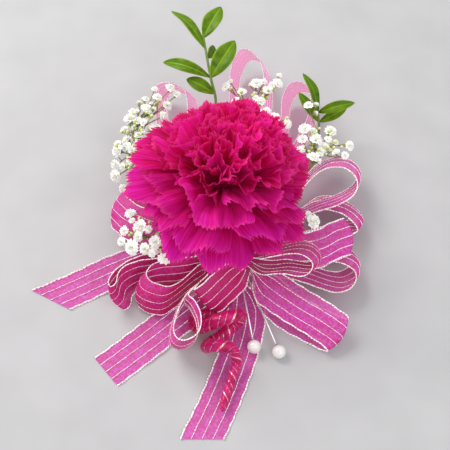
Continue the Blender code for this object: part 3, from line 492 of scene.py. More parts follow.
def make_bloom():
    """All whorls, from the drooping outer fans to the crumpled middle."""
    draw = random.Random(52)
    petals = []
    for whorl, sizes in enumerate(WHORLS):
        count, reach, rise, bend_reach, bend_rise, half_width, folds, depth, unruly = sizes
        for k in range(count):
            turn = math.tau * (k + 0.41 * whorl + draw.uniform(-0.3, 0.3) * unruly) / count
            front = max(0.0, -math.sin(turn))
            shoulder = max(0.0, math.cos(turn - SHOULDER_TURN)) ** 3
            hang = max(0.0, 1.0 - 0.42 * whorl) * (SIDE_RISE - (SIDE_RISE + FRONT_DROP) * front)
            hang += SHOULDER_RISE * shoulder * max(0.0, 1.0 - 0.3 * whorl)
            size = draw.uniform(0.98 - 0.10 * unruly, 1.02)
            spread = FRONT_SPREAD * front * abs(math.cos(turn)) * max(0.0, 1.0 - 0.35 * whorl)
            tip_rise = rise + hang + draw.uniform(-2.2, 1.2) * unruly
            petals.append(one_petal(turn, reach * size + spread, tip_rise, bend_reach, bend_rise + 0.5 * hang,
                                    half_width * size, folds, depth, unruly, whorl, draw))
    points, faces, marks = join(petals)
    make_piece("carnation_bloom", (on_flower(points), faces, marks), petal_finish(), "petal",
               "carnation_petals")


make_bloom()


# Leafy sprigs.
# Two cut twigs with small glossy oval leaves in pairs, taped in behind the
# flower. The leaves are grown in one with their twig.

# For each sprig: the points of its twig, the twig's radius, and for each leaf
# its foot, its tip, its half width, the way it faces and how far it arches.
SPRIGS = {
    "tall": (
        [(-1.3, -2.2, 8.2), (5, 3, 9.8), (7, 10, 12), (5.5, 21, 15), (0, 36, 16.8),
         (-3.6, 50, 17), (-4.3, 58, 20.5), (-4.4, 65, 27), (-6.6, 72.5, 32), (-9, 86, 36),
         (-10.3, 93, 38.3)],
        0.9,
        [((-9, 86.5, 36), (-25, 105, 42), 3.1, (0.55, -0.15, 0.8), 0.10),
         ((-10, 92, 38), (-1.9, 107.5, 42), 4.2, (-0.2, -0.5, 0.8), 0.05),
         ((-6.8, 73, 32.3), (4.6, 90, 38), 4.6, (-0.1, -0.6, 0.8), 0.05),
         ((-7, 73, 32.2), (-28.8, 81, 33), 3, (0.2, -0.4, 0.9), 0.20),
         ((-4.6, 66, 27.5), (-17.8, 73, 30.5), 3.2, (0, -0.4, 0.9), 0.16),
         ((-8.2, 82, 35), (-5, 91, 33), 2.4, (0.6, -0.4, 0.6), 0.05)]),
    "right": (
        [(1.9, -1.2, 7.2), (10, 0, 10.6), (20, 14, 14.2), (34, 36, 14), (41, 48, 12.4),
         (43.8, 55, 14.6), (43.4, 62, 19.6)],
        0.8,
        [((43.4, 62, 19.6), (36.4, 77, 30), 2.6, (0.5, -0.4, 0.7), 0.12),
         ((43.4, 62, 19.6), (59.8, 62.6, 26), 2.6, (0, -0.5, 0.9), 0.20),
         ((43.2, 59, 17), (56.6, 63, 21.5), 2.3, (0, -0.6, 0.8), 0.08),
         ((43.2, 59, 17), (34.4, 70, 24.5), 2.4, (0.1, -0.6, 0.8), 0.06)]),
}
LEAF_ROWS = 22
LEAF_COLUMNS = 13
LEAF_THICKNESS = 0.25


def draw_line(points, steps):
    """A smooth line through given points, steps to a span."""
    points = np.asarray(points, dtype=float)
    chain = np.vstack([points[0] * 2 - points[1], points, points[-1] * 2 - points[-2]])
    t = (np.arange(steps) / steps)[:, None]
    spans = []
    for i in range(len(points) - 1):
        p0, p1, p2, p3 = chain[i:i + 4]
        spans.append((p1 * 2 + (p2 - p0) * t + (p0 * 2 - p1 * 5 + p2 * 4 - p3) * t ** 2
                      + (-p0 + p1 * 3 - p2 * 3 + p3) * t ** 3) / 2)
    return np.vstack(spans + [points[-1:]])


def headings(line):
    """Unit directions along a line."""
    return unit(np.gradient(line, axis=0))


def square_to(ahead, way):
    """The part of a direction that is square to a heading, of length one."""
    return unit(way - ahead * way.dot(ahead))


def carried(line, ahead, side):
    """Each point of a line with two directions square to its heading, turned
    as little as can be from one point to the next."""
    for point, way in zip(line, ahead):
        side = square_to(way, side)
        yield point, side, np.cross(way, side)


def stalk(line, radii, sides=8, part=(0.0, 0.0), along=None):
    """A round stalk along a line, closed at its ends by small faces."""
    line = np.asarray(line, dtype=float)
    along = np.linspace(0, 1, len(line)) if along is None else along
    spots = carried(line, headings(line), np.array((0.13, 0.05, 1.0)))
    rings = [ring(point, radius, turns(sides), side, other)
             for (point, side, other), radius in zip(spots, radii)]
    return tube(rings, along, True, True, part)


def one_leaf(base, tip, half_width, up, arch, draw):
    """A blunt oval leaf, widest past its middle, creased along its midrib."""
    length = np.linalg.norm(tip - base)
    ahead = (tip - base) / length
    up = square_to(ahead, np.array(up))
    side = np.cross(ahead, up)
    share = np.linspace(0.0, 1.0, LEAF_ROWS)[:, None]
    across = np.linspace(-1.0, 1.0, LEAF_COLUMNS)[None, :]
    oval = np.sin(math.pi * share ** 1.08) ** 0.68
    width = half_width * np.maximum(oval, 0.06 * (1 - share) + 0.012)
    rib = base + ahead * (share * length)[..., None] + up * (arch * length * np.sin(math.pi * share))[..., None]
    crease = 0.34 * np.abs(across) ** 1.2 * width - 0.16 * width * across ** 4
    wave = 0.10 * half_width * np.sin(share * 9.0 + draw.uniform(0, 6)) * across ** 2
    top = (rib + side * (across * width)[..., None] + up * (crease + wave)[..., None]).reshape(-1, 3)
    marks = sheet_marks(share.ravel(), across.ravel() * 0.5 + 0.5, draw.random(), 1.0)
    faces = sheet_faces(LEAF_ROWS, LEAF_COLUMNS)
    below = len(top)
    faces += [[v + below for v in face[::-1]] for face in faces]
    grid = np.arange(below).reshape(LEAF_ROWS, LEAF_COLUMNS)
    rim = np.concatenate([grid[0], grid[1:, -1], grid[-1, -2::-1], grid[-2:0:-1, 0]]).tolist()
    faces += [[a, a + below, b + below, b] for a, b in zip(rim, rim[1:] + rim[:1])]
    return np.vstack([top, top - up * LEAF_THICKNESS]), faces, np.vstack([marks, marks])


def leaf_finish():
    """Glossy leaf: mid green, yellower at the margin and the midrib, with
    side veins; the twig is a paler, browner green."""
    leaf = Finish("glossy_leaf", 0.34)
    across, along = leaf.mark("place")
    chance, blade = leaf.mark("part")
    off = leaf.calc("ABSOLUTE", leaf.times(across, 2.0, -1.0))
    vein = leaf.calc("SINE", leaf.times(leaf.times(off, -0.45, along), 62.0))
    vein = leaf.calc("POWER", leaf.times(vein, 0.5, 0.5), 8.0)
    pale = leaf.ramp(chance, (0.0, (0.11, 0.23, 0.002)), (1.0, (0.17, 0.30, 0.004)))
    green = leaf.dye(
        leaf.ramp(leaf.mottle(260.0, 3.0), (0.3, (0.045, 0.12, 0.001)), (0.7, (0.15, 0.28, 0.002))),
        (leaf.ramp(along, (0.35, 0.0), (1.0, 0.55)), pale),
        (leaf.times(vein, 0.25), (0.26, 0.42, 0.04)),
        (leaf.ramp(off, (0.03, 0.8), (0.11, 0.0), (0.80, 0.0), (1.0, 0.8)), (0.27, 0.45, 0.02)))
    twig = leaf.ramp(leaf.mottle(500.0), (0.3, (0.13, 0.24, 0.04)), (0.7, (0.26, 0.36, 0.10)))
    leaf.wear({"Base Color": leaf.dye(twig, (blade, green)), "Specular IOR Level": 0.15,
               "Coat Weight": 0.05, "Coat Roughness": 0.2})
    leaf.emboss(leaf.calc("ADD", vein, leaf.mottle(900.0)), 0.0002, 0.6)
    return leaf.material


def make_sprigs():
    """Each twig with its leaves."""
    draw = random.Random(7)
    finish = leaf_finish()
    for name, (stem, radius, leaves) in SPRIGS.items():
        line = draw_line(stem, 6)
        parts = [stalk(line, radius * (1.0 - 0.4 * np.linspace(0, 1, len(line))))]
        for base, tip, half_width, up, arch in leaves:
            near = line[np.argmin(np.linalg.norm(line - np.array(base), axis=1))]
            parts.append(one_leaf(near, np.array(tip), half_width, up, arch, draw))
        make_piece("sprig_" + name, join(parts), finish, "leaf", "leaf_sprig_" + name)


make_sprigs()


# Baby's breath.
# Fine forking stalks with small double white florets and round green-white
# buds. Five cut sprays are taped in behind and beside the flower.

# For each spray: the points of its stalk, and its florets' places and sizes.
SPRAYS = {
    "left_rear": (
        [(-5.2, -2.2, 5.2), (-5.1, -1, 10), (-8.4, 1.2, 15.4), (-14, 6, 17),
         (-24, 20, 17.4), (-36, 36, 17), (-43, 52, 18)],
        [((-25.5, 71, 26), 1), ((-31.5, 66.5, 25), 0.9), ((-27, 64, 22), 1),
         ((-36.5, 62, 22), 1.1),
         ((-44, 58, 20), 1.2), ((-31.5, 52, 19), 1.4),
         ((-25, 54, 19), 1.1), ((-39.5, 49, 19), 0.9),
         ((-49, 42.5, 16), 1.2), ((-45, 44, 17), 1), ((-50, 37, 13), 1),
         ((-49.5, 31.5, 12), 1.2), ((-45.8, 25, 11), 0.9), ((-33, 73, 23), 0.7),
         ((-22.5, 69, 24), 0.9), ((-37, 68, 22), 0.7), ((-43, 63, 19), 0.8),
         ((-40, 56.5, 20), 1), ((-46.5, 54, 17), 0.8), ((-36, 57, 19), 0.9),
         ((-45, 49, 16), 1), ((-49.5, 47, 15), 0.8), ((-35, 46, 18), 0.8),
         ((-43, 38, 15), 0.9), ((-46.5, 35, 14), 0.8), ((-28.5, 58.5, 22), 0.8)]),
    "rear": (
        [(0.7, -4.1, 8.7), (5.2, 0.2, 11.2), (9.2, 12, 14), (10, 30, 16.8), (10, 48, 17.2),
         (11, 56, 19), (12, 62, 21)],
        [((0.5, 72, 26), 0.9), ((7.8, 68, 27), 0.9), ((14.5, 73, 27), 1.2),
         ((19.5, 69, 27), 0.9), ((24.5, 74, 26), 1), ((12.5, 62, 24), 1.2),
         ((1.2, 60, 24), 1), ((23, 57, 22), 1.1), ((28.5, 55, 20), 1),
         ((18, 75, 26), 0.8), ((9.5, 63.5, 25), 0.9), ((16.5, 64, 25), 1), ((5, 64.5, 25), 0.8),
         ((2.5, 76, 25), 0.6), ((25.5, 79, 26), 0.6), ((19, 60, 23), 0.9)]),
    "right": (
        [(3.2, -0.8, 5.2), (9, 1, 8.4), (20, 10.5, 12.4), (33, 26, 13.6), (41, 38, 14),
         (45, 46, 16)],
        [((38.5, 62.5, 24), 0.9), ((36.5, 51, 21), 1.2), ((35.5, 46, 20), 1),
         ((41.5, 46, 20), 1.2), ((45, 43, 18), 1.1), ((34, 41, 18), 1),
         ((39.5, 36.5, 19), 1.2), ((48.5, 52, 18), 1.2), ((56.5, 42.5, 20), 0.9),
         ((54, 37, 20), 0.8), ((40.5, 51, 19), 0.9), ((47, 46.5, 19), 0.8),
         ((34.5, 36.5, 17), 0.9), ((50.5, 45, 19), 0.6), ((43, 39.5, 18), 0.8)]),
    "left_front": (
        [(-3.2, -4.4, 6.8), (-4.2, -2.3, 11.6), (-8.4, -2.2, 16.4), (-14, -4, 18.4), (-26, -6, 21),
         (-34, -8, 22.5)],
        [((-40.5, 3, 24), 1), ((-42.5, -5.5, 24), 0.9), ((-36, -4, 25), 1.3),
         ((-39, -13.5, 24), 1.3), ((-33.5, -14.5, 24.5), 1), ((-29, -12, 26), 1.1),
         ((-25, -19.5, 25.5), 1.1), ((-43.5, -10.5, 23.5), 0.8), ((-36.5, -9, 25), 0.9),
         ((-30.5, -17, 25), 0.7)]),
    "right_front": (
        [(2.9, -4.3, 8.4), (9.6, -2.6, 14.2), (20, 0, 19.4), (29, 2, 21.4), (34, 1, 22.5)],
        [((37.5, -1, 24), 1.3), ((35.5, 2.5, 24.5), 0.7)]),
}
FLORET_SPAN = 2.7
# For each ring of a floret: petals, reach, rise and width over its span.
FLORET_RINGS = ((8, 1.0, 0.10, 0.42), (7, 0.78, 0.42, 0.38), (5, 0.48, 0.66, 0.34), (3, 0.22, 0.78, 0.26))
FLORET_PETAL = ((0.12, 0.25, 0.0), (0.6, 0.9, 0.10), (1.0, 0.75, 0.0))
FLORET_NOTCH = 0.14
TWIG = 13.0


def cross_axes(ahead):
    """A heading and two directions square to it."""
    ahead = unit(np.asarray(ahead, dtype=float))
    side = unit(np.cross(ahead, (0.31, 0.22, 0.92)))
    return ahead, side, np.cross(ahead, side)


def one_floret(centre, size, up, draw):
    """A double floret: four rings of small notched petals on a green cup."""
    up, side, other = cross_axes(up)
    parts = []
    for place, (count, reach, rise, wide) in enumerate(FLORET_RINGS):
        for k in range(count):
            turn = math.tau * (k + 0.5 * place + draw.uniform(-0.2, 0.2)) / count
            out = math.cos(turn) * side + math.sin(turn) * other
            flank = -math.sin(turn) * side + math.cos(turn) * other
            long = size * reach * draw.uniform(0.88, 1.08)
            lift = size * (rise + draw.uniform(-0.10, 0.12))
            grid = []
            for share, width, curl in FLORET_PETAL:
                for t in (-1.0, 0.0, 1.0):
                    notch = FLORET_NOTCH * size if share == 1.0 and t == 0.0 else 0.0
                    grid.append(centre + out * (long * share - notch) + flank * (t * width * wide * size)
                                + up * (lift * share + curl * size * (1 - abs(t))))
            marks = sheet_marks([share for share, _, _ in FLORET_PETAL], (0.0, 0.5, 1.0), draw.random(), 1.0)
            parts.append((np.array(grid), sheet_faces(3, 3), marks))
    line = [centre + up * (size * share) for share in (-0.75, -0.3, 0.12)]
    parts.append(stalk(line, (0.18 * size, 0.42 * size, 0.30 * size), 6, (draw.random(), 0.5)))
    return parts


def one_bud(centre, radius, up, draw):
    """A closed bud, green at its foot and cream at its tip."""
    up = cross_axes(up)[0]
    line = [centre + up * (radius * share) for share in (-1.35, -1.0, -0.3, 0.5, 1.0, 1.25)]
    radii = [radius * share for share in (0.25, 0.6, 0.95, 0.85, 0.45, 0.1)]
    return stalk(line, radii, 6, (draw.random(), 0.75))


def one_twig(upper, head, size, draw):
    """A twig from the spray's stalk to a floret, with its side buds."""
    start = upper[np.argmin(np.abs(np.linalg.norm(upper - head, axis=1) - TWIG))]
    middle = (start + head) / 2 + np.array([draw.uniform(-1, 1) for _ in range(3)]) * 0.8
    middle[2] -= 0.8
    twig = draw_line([start, middle, head - np.array((0, 0, 0.5)) * size], 4)
    ahead = unit(twig[-1] - twig[-3])
    parts = [stalk(twig, np.linspace(0.34, 0.24, len(twig)), 5)]
    parts += one_floret(head, FLORET_SPAN * size, ahead + np.array((0.0, -0.45, 1.0)), draw)
    for _ in range(draw.choice((2, 3, 4))):
        spot = twig[draw.randrange(2, len(twig) - 2)]
        way = np.array([draw.uniform(-1, 1), draw.uniform(-1, 1), draw.uniform(-0.1, 1.0)])
        way = unit(way) + 0.5 * ahead
        bud = spot + way * draw.uniform(2.2, 4.2)
        stem = draw_line([spot, (spot + bud) / 2 + (0, 0, -0.25), bud], 3)
        parts.append(stalk(stem, np.full(len(stem), 0.2), 4))
        if draw.random() < 0.4:
            parts += one_floret(bud, FLORET_SPAN * draw.uniform(0.5, 0.75), way, draw)
        else:
            parts.append(one_bud(bud, draw.uniform(0.6, 1.0), way, draw))
    return parts


def breath_finish():
    """White petals with a faint green-cream shade, on olive stalks; florets,
    buds and cups have a faint painted glow.
    """
    white = Finish("breath_white", 0.6)
    along = white.mark("place")[1]
    kind = white.mark("part")[1]
    petal = white.ramp(along, (0.1, (0.80, 0.84, 0.55)), (0.4, (0.94, 0.95, 0.90)), (1.0, (0.98, 0.98, 0.97)))
    bud = white.ramp(along, (0.25, (0.34, 0.48, 0.06)), (0.75, (0.82, 0.86, 0.42)))
    cup = white.ramp(along, (0.3, (0.24, 0.34, 0.07)), (1.0, (0.50, 0.56, 0.22)))
    olive = white.ramp(white.mottle(420.0), (0.35, (0.20, 0.17, 0.06)), (0.65, (0.34, 0.38, 0.12)))
    shade = white.dye(olive, *((white.calc("GREATER_THAN", kind, least), colour)
                               for least, colour in ((0.3, cup), (0.6, bud), (0.9, petal))))
    # A painted glow: florets, buds and cups give off light of their own colour.
    white.wear({"Base Color": shade, "Emission Color": shade,
                "Emission Strength": white.times(kind, 0.10)})
    white.emboss(white.mottle(1500.0, 3.0), 0.0002, 0.5)
    return white.material


def make_breath():
    """Every spray: its stalk, twigs, florets and side buds."""
    draw = random.Random(31)
    finish = breath_finish()
    for name, (stem, florets) in SPRAYS.items():
        line = draw_line(stem, 6)
        parts = [stalk(line, np.linspace(0.62, 0.4, len(line)), 6)]
        for head, size in florets:
            parts += one_twig(line[len(line) // 2:], np.array(head), size, draw)
        make_piece("breath_" + name, join(parts), finish, "babys_breath", "babys_breath_" + name)


make_breath()


# Loops and tails of the bow.
# Sheer plum ribbon 16 mm wide, woven with two thick metallic edges and three
# finer metallic lines. Each loop leaves the tied waist and comes back to it,
# drawn into small folds there; three tails lie flat and are cut aslant.

RIBBON_WIDTH = 15.9
ROOT_WIDTH = 3.0
ROOT_OPENING = 0.75
NECK = 3.0
GATHER = 15.0
BACK_GATHER = 38.0
PUFF = 2.4
PUFF_RUN = 30.0
SLANT_RUN = 14.0
STATION = 0.7
LEAST_HEIGHT = 0.15
# For each loop: its root in the waist, the points it runs through, and the
# way across the ribbon.
LOOPS = {
    "back_left": (
        (-1.1, -8.2, 3.4),
        [(-5, -5, 4), (-8.6, 0, 4.8), (-10, 7, 5.5), (-12.5, 25, 7.4), (-15, 50, 8.6),
         (-16, 78, 9), (-20.5, 80, 15), (-27.6, 81, 15), (-31, 79, 9), (-28, 50, 8.6),
         (-21, 25, 7.4), (-13, 8, 5.4), (-11, 0, 4.8), (-7.4, -5.2, 4.2)],
        (5, 5.6, -14)),
    "back_centre": (
        (8.7, -5.6, 3.2),
        [(6.8, 3, 3.6), (5.5, 18, 5.6), (4.5, 40, 8.2), (4.5, 70, 8.8), (5, 92, 9), (9.4, 101, 15),
         (15.7, 100, 15), (20.6, 95, 9), (20, 70, 8.8), (15, 40, 8.2), (10, 18, 5.6), (8.8, 3, 3.6)],
        (4.8, 5.4, -14.2)),
    "back_right": (
        (10.7, -7.7, 3.2),
        [(10.8, 3, 3.6), (13, 18, 5.6), (20, 40, 8.2), (28, 62, 8.8), (30, 77, 8.8), (33.5, 81.5, 14),
         (39.5, 81.5, 14), (43, 79, 8.8), (40, 62, 8.8), (29, 40, 8.2), (17, 18, 5.6), (12.2, 3, 3)],
        (4.8, 5.4, -14.2)),
    "right_rear": (
        (10.9, -8.4, 8.8),
        [(20, 6, 11.5), (30, 20.5, 12.5), (44, 37, 12), (53, 38, 15), (58.5, 36, 14), (61, 31, 13),
         (59, 25, 12), (51, 19.4, 11.5), (39, 14.6, 11.2), (24, 6, 10.1)],
        (1.7, 12.3, -9.9)),
    "right_upper": (
        (11.4, -10.4, 6),
        [(28, 7, 7.4), (42, 20, 7.4), (53, 18, 8.5), (59, 13, 8.5), (61, 9.4, 7.4), (58, 8.4, 5.4),
         (50, 7.2, 5.2), (30, 0, 5.5)],
        (2.5, 13.1, -8.7)),
    "right_face": (
        (10, -12.4, 10.2),
        [(24, -11.2, 14.3), (40, -9.5, 15.5), (48, -5, 15.4), (53.6, -2.4, 14.8), (54.2, -1.6, 13.6),
         (48, -4, 12.9), (36, -8.5, 12.5), (22, -11, 12)],
        (-2.6, 14.1, 6.9)),
    "right_lower": (
        (11.4, -12.6, 3.6),
        [(28, -6, 4.5), (43, -4, 5.1), (52, -5.6, 6.2), (57, -10.5, 7.9), (57, -16, 8),
         (53, -19.6, 6.6), (46, -19.6, 5.4), (28, -12.4, 4.4)],
        (0.6, 14.1, -7.4)),
    "right_front": (
        (11.4, -15.4, 8.8),
        [(13.5, -19.5, 11.2), (18, -26, 12.8), (29, -35, 13), (39, -41, 11.5), (47, -46, 9),
         (47, -46, 5.5), (38, -40.5, 3.8), (26.5, -33.4, 4.2), (17, -22.6, 5.2)],
        (8.7, 11.5, 6.6)),
    "right_top": (
        (7.9, -12.8, 12.4),
        [(17, -21, 19.5), (26, -22, 22.5), (35, -23, 22.5), (39, -19, 23.5), (37, -15, 24.5),
         (31, -13, 24.7), (20, -14, 22)],
        (3.5, 12.2, -9.6)),
    "left_rear": (
        (-1.1, -8.8, 8.2),
        [(-12, -6.4, 11), (-24, -2.5, 13.5), (-41, 4.5, 15), (-46, 9, 14), (-49, 13.5, 13), (-46, 17, 12),
         (-37, 15, 11), (-22, 2.5, 9), (-12, -3.6, 7.6)],
        (-5.6, -11.2, -9.8)),
    "left_middle": (
        (-1.4, -11.4, 5.2),
        [(-12, -12.6, 8.4), (-24, -12.8, 9), (-35, -15, 9.5), (-43, -20, 9.3), (-47.5, -26, 8.8),
         (-47, -30, 8.6), (-44.5, -28, 8.8), (-43, -22, 9), (-36, -17.6, 9), (-24, -15.6, 8.8),
         (-12, -14.6, 8)],
        (4.7, -3.4, -14.8)),
    "left_front": (
        (-0.9, -12.8, 9.4),
        [(-9, -16, 11), (-18, -19.5, 13), (-29, -20.5, 12.5), (-35.4, -22.6, 10.6), (-36.8, -26.5, 9.3),
         (-33, -30, 9), (-26, -31.5, 9), (-20, -28, 9.8), (-14, -22.5, 10.4), (-8, -18.2, 10.4)],
        (-4.3, -6.4, -13.9)),
    "front_drop": (
        (-0.4, -17.2, 7.4),
        [(-7.2, -21.8, 9.4), (-14.8, -28.6, 12.2), (-18.6, -34.6, 13), (-21.2, -41.5, 12), (-22.4, -48, 12),
         (-21, -52.6, 12.3), (-17, -54.4, 13.6), (-12.4, -52.8, 16.2), (-10.8, -49, 18.2), (-11.6, -43.5, 18.4),
         (-14.2, -37, 16.2), (-16.4, -33.4, 14.4), (-13.3, -28.4, 11.6), (-6.2, -22.8, 9.4)],
        (-1.7, 3.7, -15.4)),
    "front_centre": (
        (4.3, -15.2, 12.7),
        [(8, -18, 15.5), (3.2, -24.5, 17), (-1.8, -30, 16.8), (-6, -34, 16), (-8.4, -35, 15),
         (-7.3, -32.5, 14.2), (-2.8, -28, 15.3), (2, -22.8, 15.4), (5.6, -18, 14)],
        (9.7, -4.4, -11.8)),
}
# For each tail: the points it runs through, and how far its end is cut aslant.
TAILS = {
    "left": ([(-0.9, -9.2, 1.6), (-8, -7, 0.5), (-14, -5.5, 0.3), (-30, -4.5, 0.3), (-48, -11.5, 0.3),
              (-62, -19, 0.3), (-75.5, -26, 0.3)], -11),
    "front_left": ([(-0.6, -15.4, 1.5), (-6, -21, 0.6), (-13, -28, 0.3), (-28, -41.5, 0.3), (-39, -51, 0.3),
                    (-49.3, -59.5, 0.3)], 0),
    "front": ([(6, -16.4, 1.4), (8.5, -27, 0.5), (9, -37, 0.3), (5, -53, 0.3), (-2.2, -72.5, 0.3),
               (-9.2, -88.2, 0.3)], -7),
}
# How crimson each loop looks: partly the deeper colour where it is backed by others, partly painted, where a
# loop shows less of the lilac sheen reflection.
LOOP_CRIMSON = {"loop_front_centre": 1.0, "loop_left_front": 0.75, "loop_left_middle": 0.65, "loop_front_drop": 0.35,
           "loop_right_top": 0.75, "loop_left_rear": 0.6, "loop_right_lower": 0.45, "loop_right_upper": 0.45,
           "loop_right_rear": 0.2}
ALONE = 0.1
THREADS = (-1.0, -0.5, 0.0, 0.5, 1.0)
EDGE_THREAD = 0.28
INNER_THREAD = 0.14
# Threads that look finer or bolder than the rest.
THREAD_SHARES = {"loop_back": 0.5, "loop_left": 0.8, "loop_right_top": 0.8, "loop_front_drop": 0.85,
                 "tail": 1.15}


def even_stations(line, spacing):
    """A line's points set out again at an even spacing, and its length."""
    gone = np.concatenate([[0.0], np.cumsum(np.linalg.norm(np.diff(line, axis=0), axis=1))])
    count = max(int(round(gone[-1] / spacing)), 2) + 1
    spots = np.linspace(0.0, gone[-1], count)
    return np.stack([np.interp(spots, gone, line[:, axis]) for axis in range(3)], 1), gone[-1]


def loop_line(root, points):
    """The line of a loop from the waist and back, finely drawn."""
    root, first, last = np.array(root), np.array(points[0]), np.array(points[-1])
    ahead = unit((first + last) / 2 - root)
    opening = square_to(ahead, first - last) * ROOT_OPENING
    neck = root + ahead * NECK
    return draw_line(np.vstack([[root], [neck + opening], points, [neck - opening], [root]]), 8)


class Strip:
    """Where a ribbon runs: stations, headings, width and the way across."""

    def __init__(self, line, across=None, gather=GATHER, slant=0.0, puff=0.0):
        self.line, self.length = even_stations(line, STATION)
        self.ahead = headings(self.line)
        self.gone = np.linspace(0.0, self.length, len(self.line))
        if across is None:
            self.across = unit(np.cross(UP, self.ahead))
            free = self.gone
        else:
            self.across = unit(np.broadcast_to(np.array(across, dtype=float), self.line.shape))
            free = np.minimum(self.gone, self.length - self.gone)
        self.normal = unit(np.cross(self.ahead, self.across))
        self.open = ease(free / gather)
        self.width = ROOT_WIDTH + (RIBBON_WIDTH - ROOT_WIDTH) * self.open
        away = self.line - self.line[0]
        gap = np.linalg.norm(away, axis=1, keepdims=True)
        self.puff = away / np.maximum(gap, 1.0) * (puff * ease(gap / PUFF_RUN) ** 2)
        self.slant = slant * np.clip((self.gone - self.length + SLANT_RUN) / SLANT_RUN, 0.0, 1.0)

    def at(self, t, phase, lift=0.0):
        """Points at a share across, -1 to 1, folded where it is drawn in and
        never below the table."""
        fold = 1.5 * (1.0 - self.open) * np.cos(math.pi * 2.5 * t + phase)
        swell = 0.35 * self.open * np.sin(self.gone * 0.19 + phase) * (t * t - 0.3)
        edge = 0.12 * np.sin(self.gone * 0.9 + phase + 2.0 * t) * abs(t)
        points = (self.line + self.across * (t * self.width / 2 + edge)[:, None]
                  + self.normal * (fold + swell + lift)[:, None] + self.ahead * (t * self.slant / 2)[:, None]
                  + self.puff * (0.4 - t * t))
        points[:, 2] = np.maximum(points[:, 2], LEAST_HEIGHT + lift)
        return points


def ribbon_finish():
    """Sheer plum organza: fine warp and weft, with lengthwise streaks that are
    partly grain and partly painted sheen, and flecks of painted lilac glint.
    Painted lilac sheen where it lies level and painted crimson shade where it
    stands; more crimson on loops backed by others, and on loops painted as
    showing little lilac sheen; paler in the thin back loops, and a faint
    painted glow over all. The weave lets light and what is behind through."""
    plum = Finish("plum_organza", 0.42)
    across, along = plum.mark("place")
    crimson_share, thin = plum.mark("part")
    threads = plum.calc("ADD", plum.waves(along, 22.0), plum.waves(across, 46.0))
    weave = plum.times(threads, 0.25, 0.5)
    grain_and_sheen = plum.streaks(3.0, (across, 55.0), (along, 0.7), (crimson_share, 9.0))
    fleck_and_glint = plum.mottle(950.0)
    slope = plum.step("SeparateXYZ", {0: plum.step("NewGeometry", {}).outputs["Normal"]})
    level = plum.calc("ABSOLUTE", slope.outputs[2])
    shade = plum.dye(
        plum.ramp(plum.mottle(70.0), (0.35, (0.62, 0.008, 0.25)), (0.65, (0.80, 0.035, 0.46))),
        # Lengthwise streaks of lilac: partly the grain of the weave, partly painted sheen.
        (plum.times(grain_and_sheen, 0.45), (0.88, 0.13, 0.66)),
        (plum.times(weave, 0.25), (0.56, 0.006, 0.20)),
        # Lilac flecks are painted glints; dark flecks are crimson specks in the weave.
        (plum.ramp(fleck_and_glint, (0.48, 0.0), (0.66, 0.6)), (0.88, 0.20, 0.92)),
        (plum.ramp(fleck_and_glint, (0.32, 0.6), (0.46, 0.0)), (0.66, 0.0, 0.14)),
        # More crimson on loops by their share: partly the colour of layered ribbon, partly a painted lack of
        # sheen.
        (plum.times(crimson_share, 0.8), (0.52, 0.0, 0.09)),
        # By how level the surface lies: painted crimson shade where it stands on edge, painted lilac sheen
        # where it lies level to the light.
        (plum.ramp(level, (0.15, 0.6), (0.6, 0.0)), (0.54, 0.0, 0.12)),
        (plum.ramp(level, (0.6, 0.0), (0.96, 0.3)), (0.50, 0.17, 0.40)),
        (plum.times(thin, 0.75), (1.0, 0.36, 0.70)))
    # The emission is a painted glow of the ribbon's colour, stronger in the thin back loops and weaker where
    # loops are more crimson.
    glow = plum.times(thin, 0.22, plum.times(crimson_share, -0.05, 0.10))
    cover = plum.times(weave, 0.16, plum.times(grain_and_sheen, 0.16, 0.58))
    backing = plum.times(crimson_share, 0.26, plum.times(thin, -0.08))
    plum.wear({"Base Color": shade, "Emission Color": shade, "Emission Strength": glow,
               "Alpha": plum.calc("ADD", cover, backing), "Specular IOR Level": 0.22,
               "Sheen Weight": plum.times(crimson_share, -0.42, 0.45),
               "Sheen Roughness": 0.3, "Sheen Tint": (0.95, 0.55, 1.0)})
    plum.emboss(plum.calc("ADD", weave, grain_and_sheen), 0.00012, 0.6)
    return plum.material


def thread_finish():
    """Twisted metallic yarn, silver to pale gold, with painted sparkle along its
    twist: white glints in its colour and a painted glow on them.
    """
    yarn = Finish("metal_thread", 0.34, 0.35)
    across, along = yarn.mark("place")
    lay = yarn.times(along, math.tau * 7.5, yarn.times(across, math.tau))
    twist = yarn.calc("SINE", lay)
    colour_and_glint = yarn.times(twist, 0.18, yarn.mottle(1100.0))
    shade = yarn.ramp(colour_and_glint, (0.25, (0.92, 0.40, 0.58)), (0.40, (1.0, 0.80, 0.80)), (0.54, (1.0, 0.97, 0.94)))
    # The white along the twist is painted glint, and the emission is a painted glow, strongest on those glints.
    yarn.wear({"Base Color": shade, "Emission Color": shade,
               "Emission Strength": yarn.ramp(colour_and_glint, (0.35, 0.08), (0.60, 0.6))})
    yarn.emboss(twist, 0.0003, 0.8)
    return yarn.material


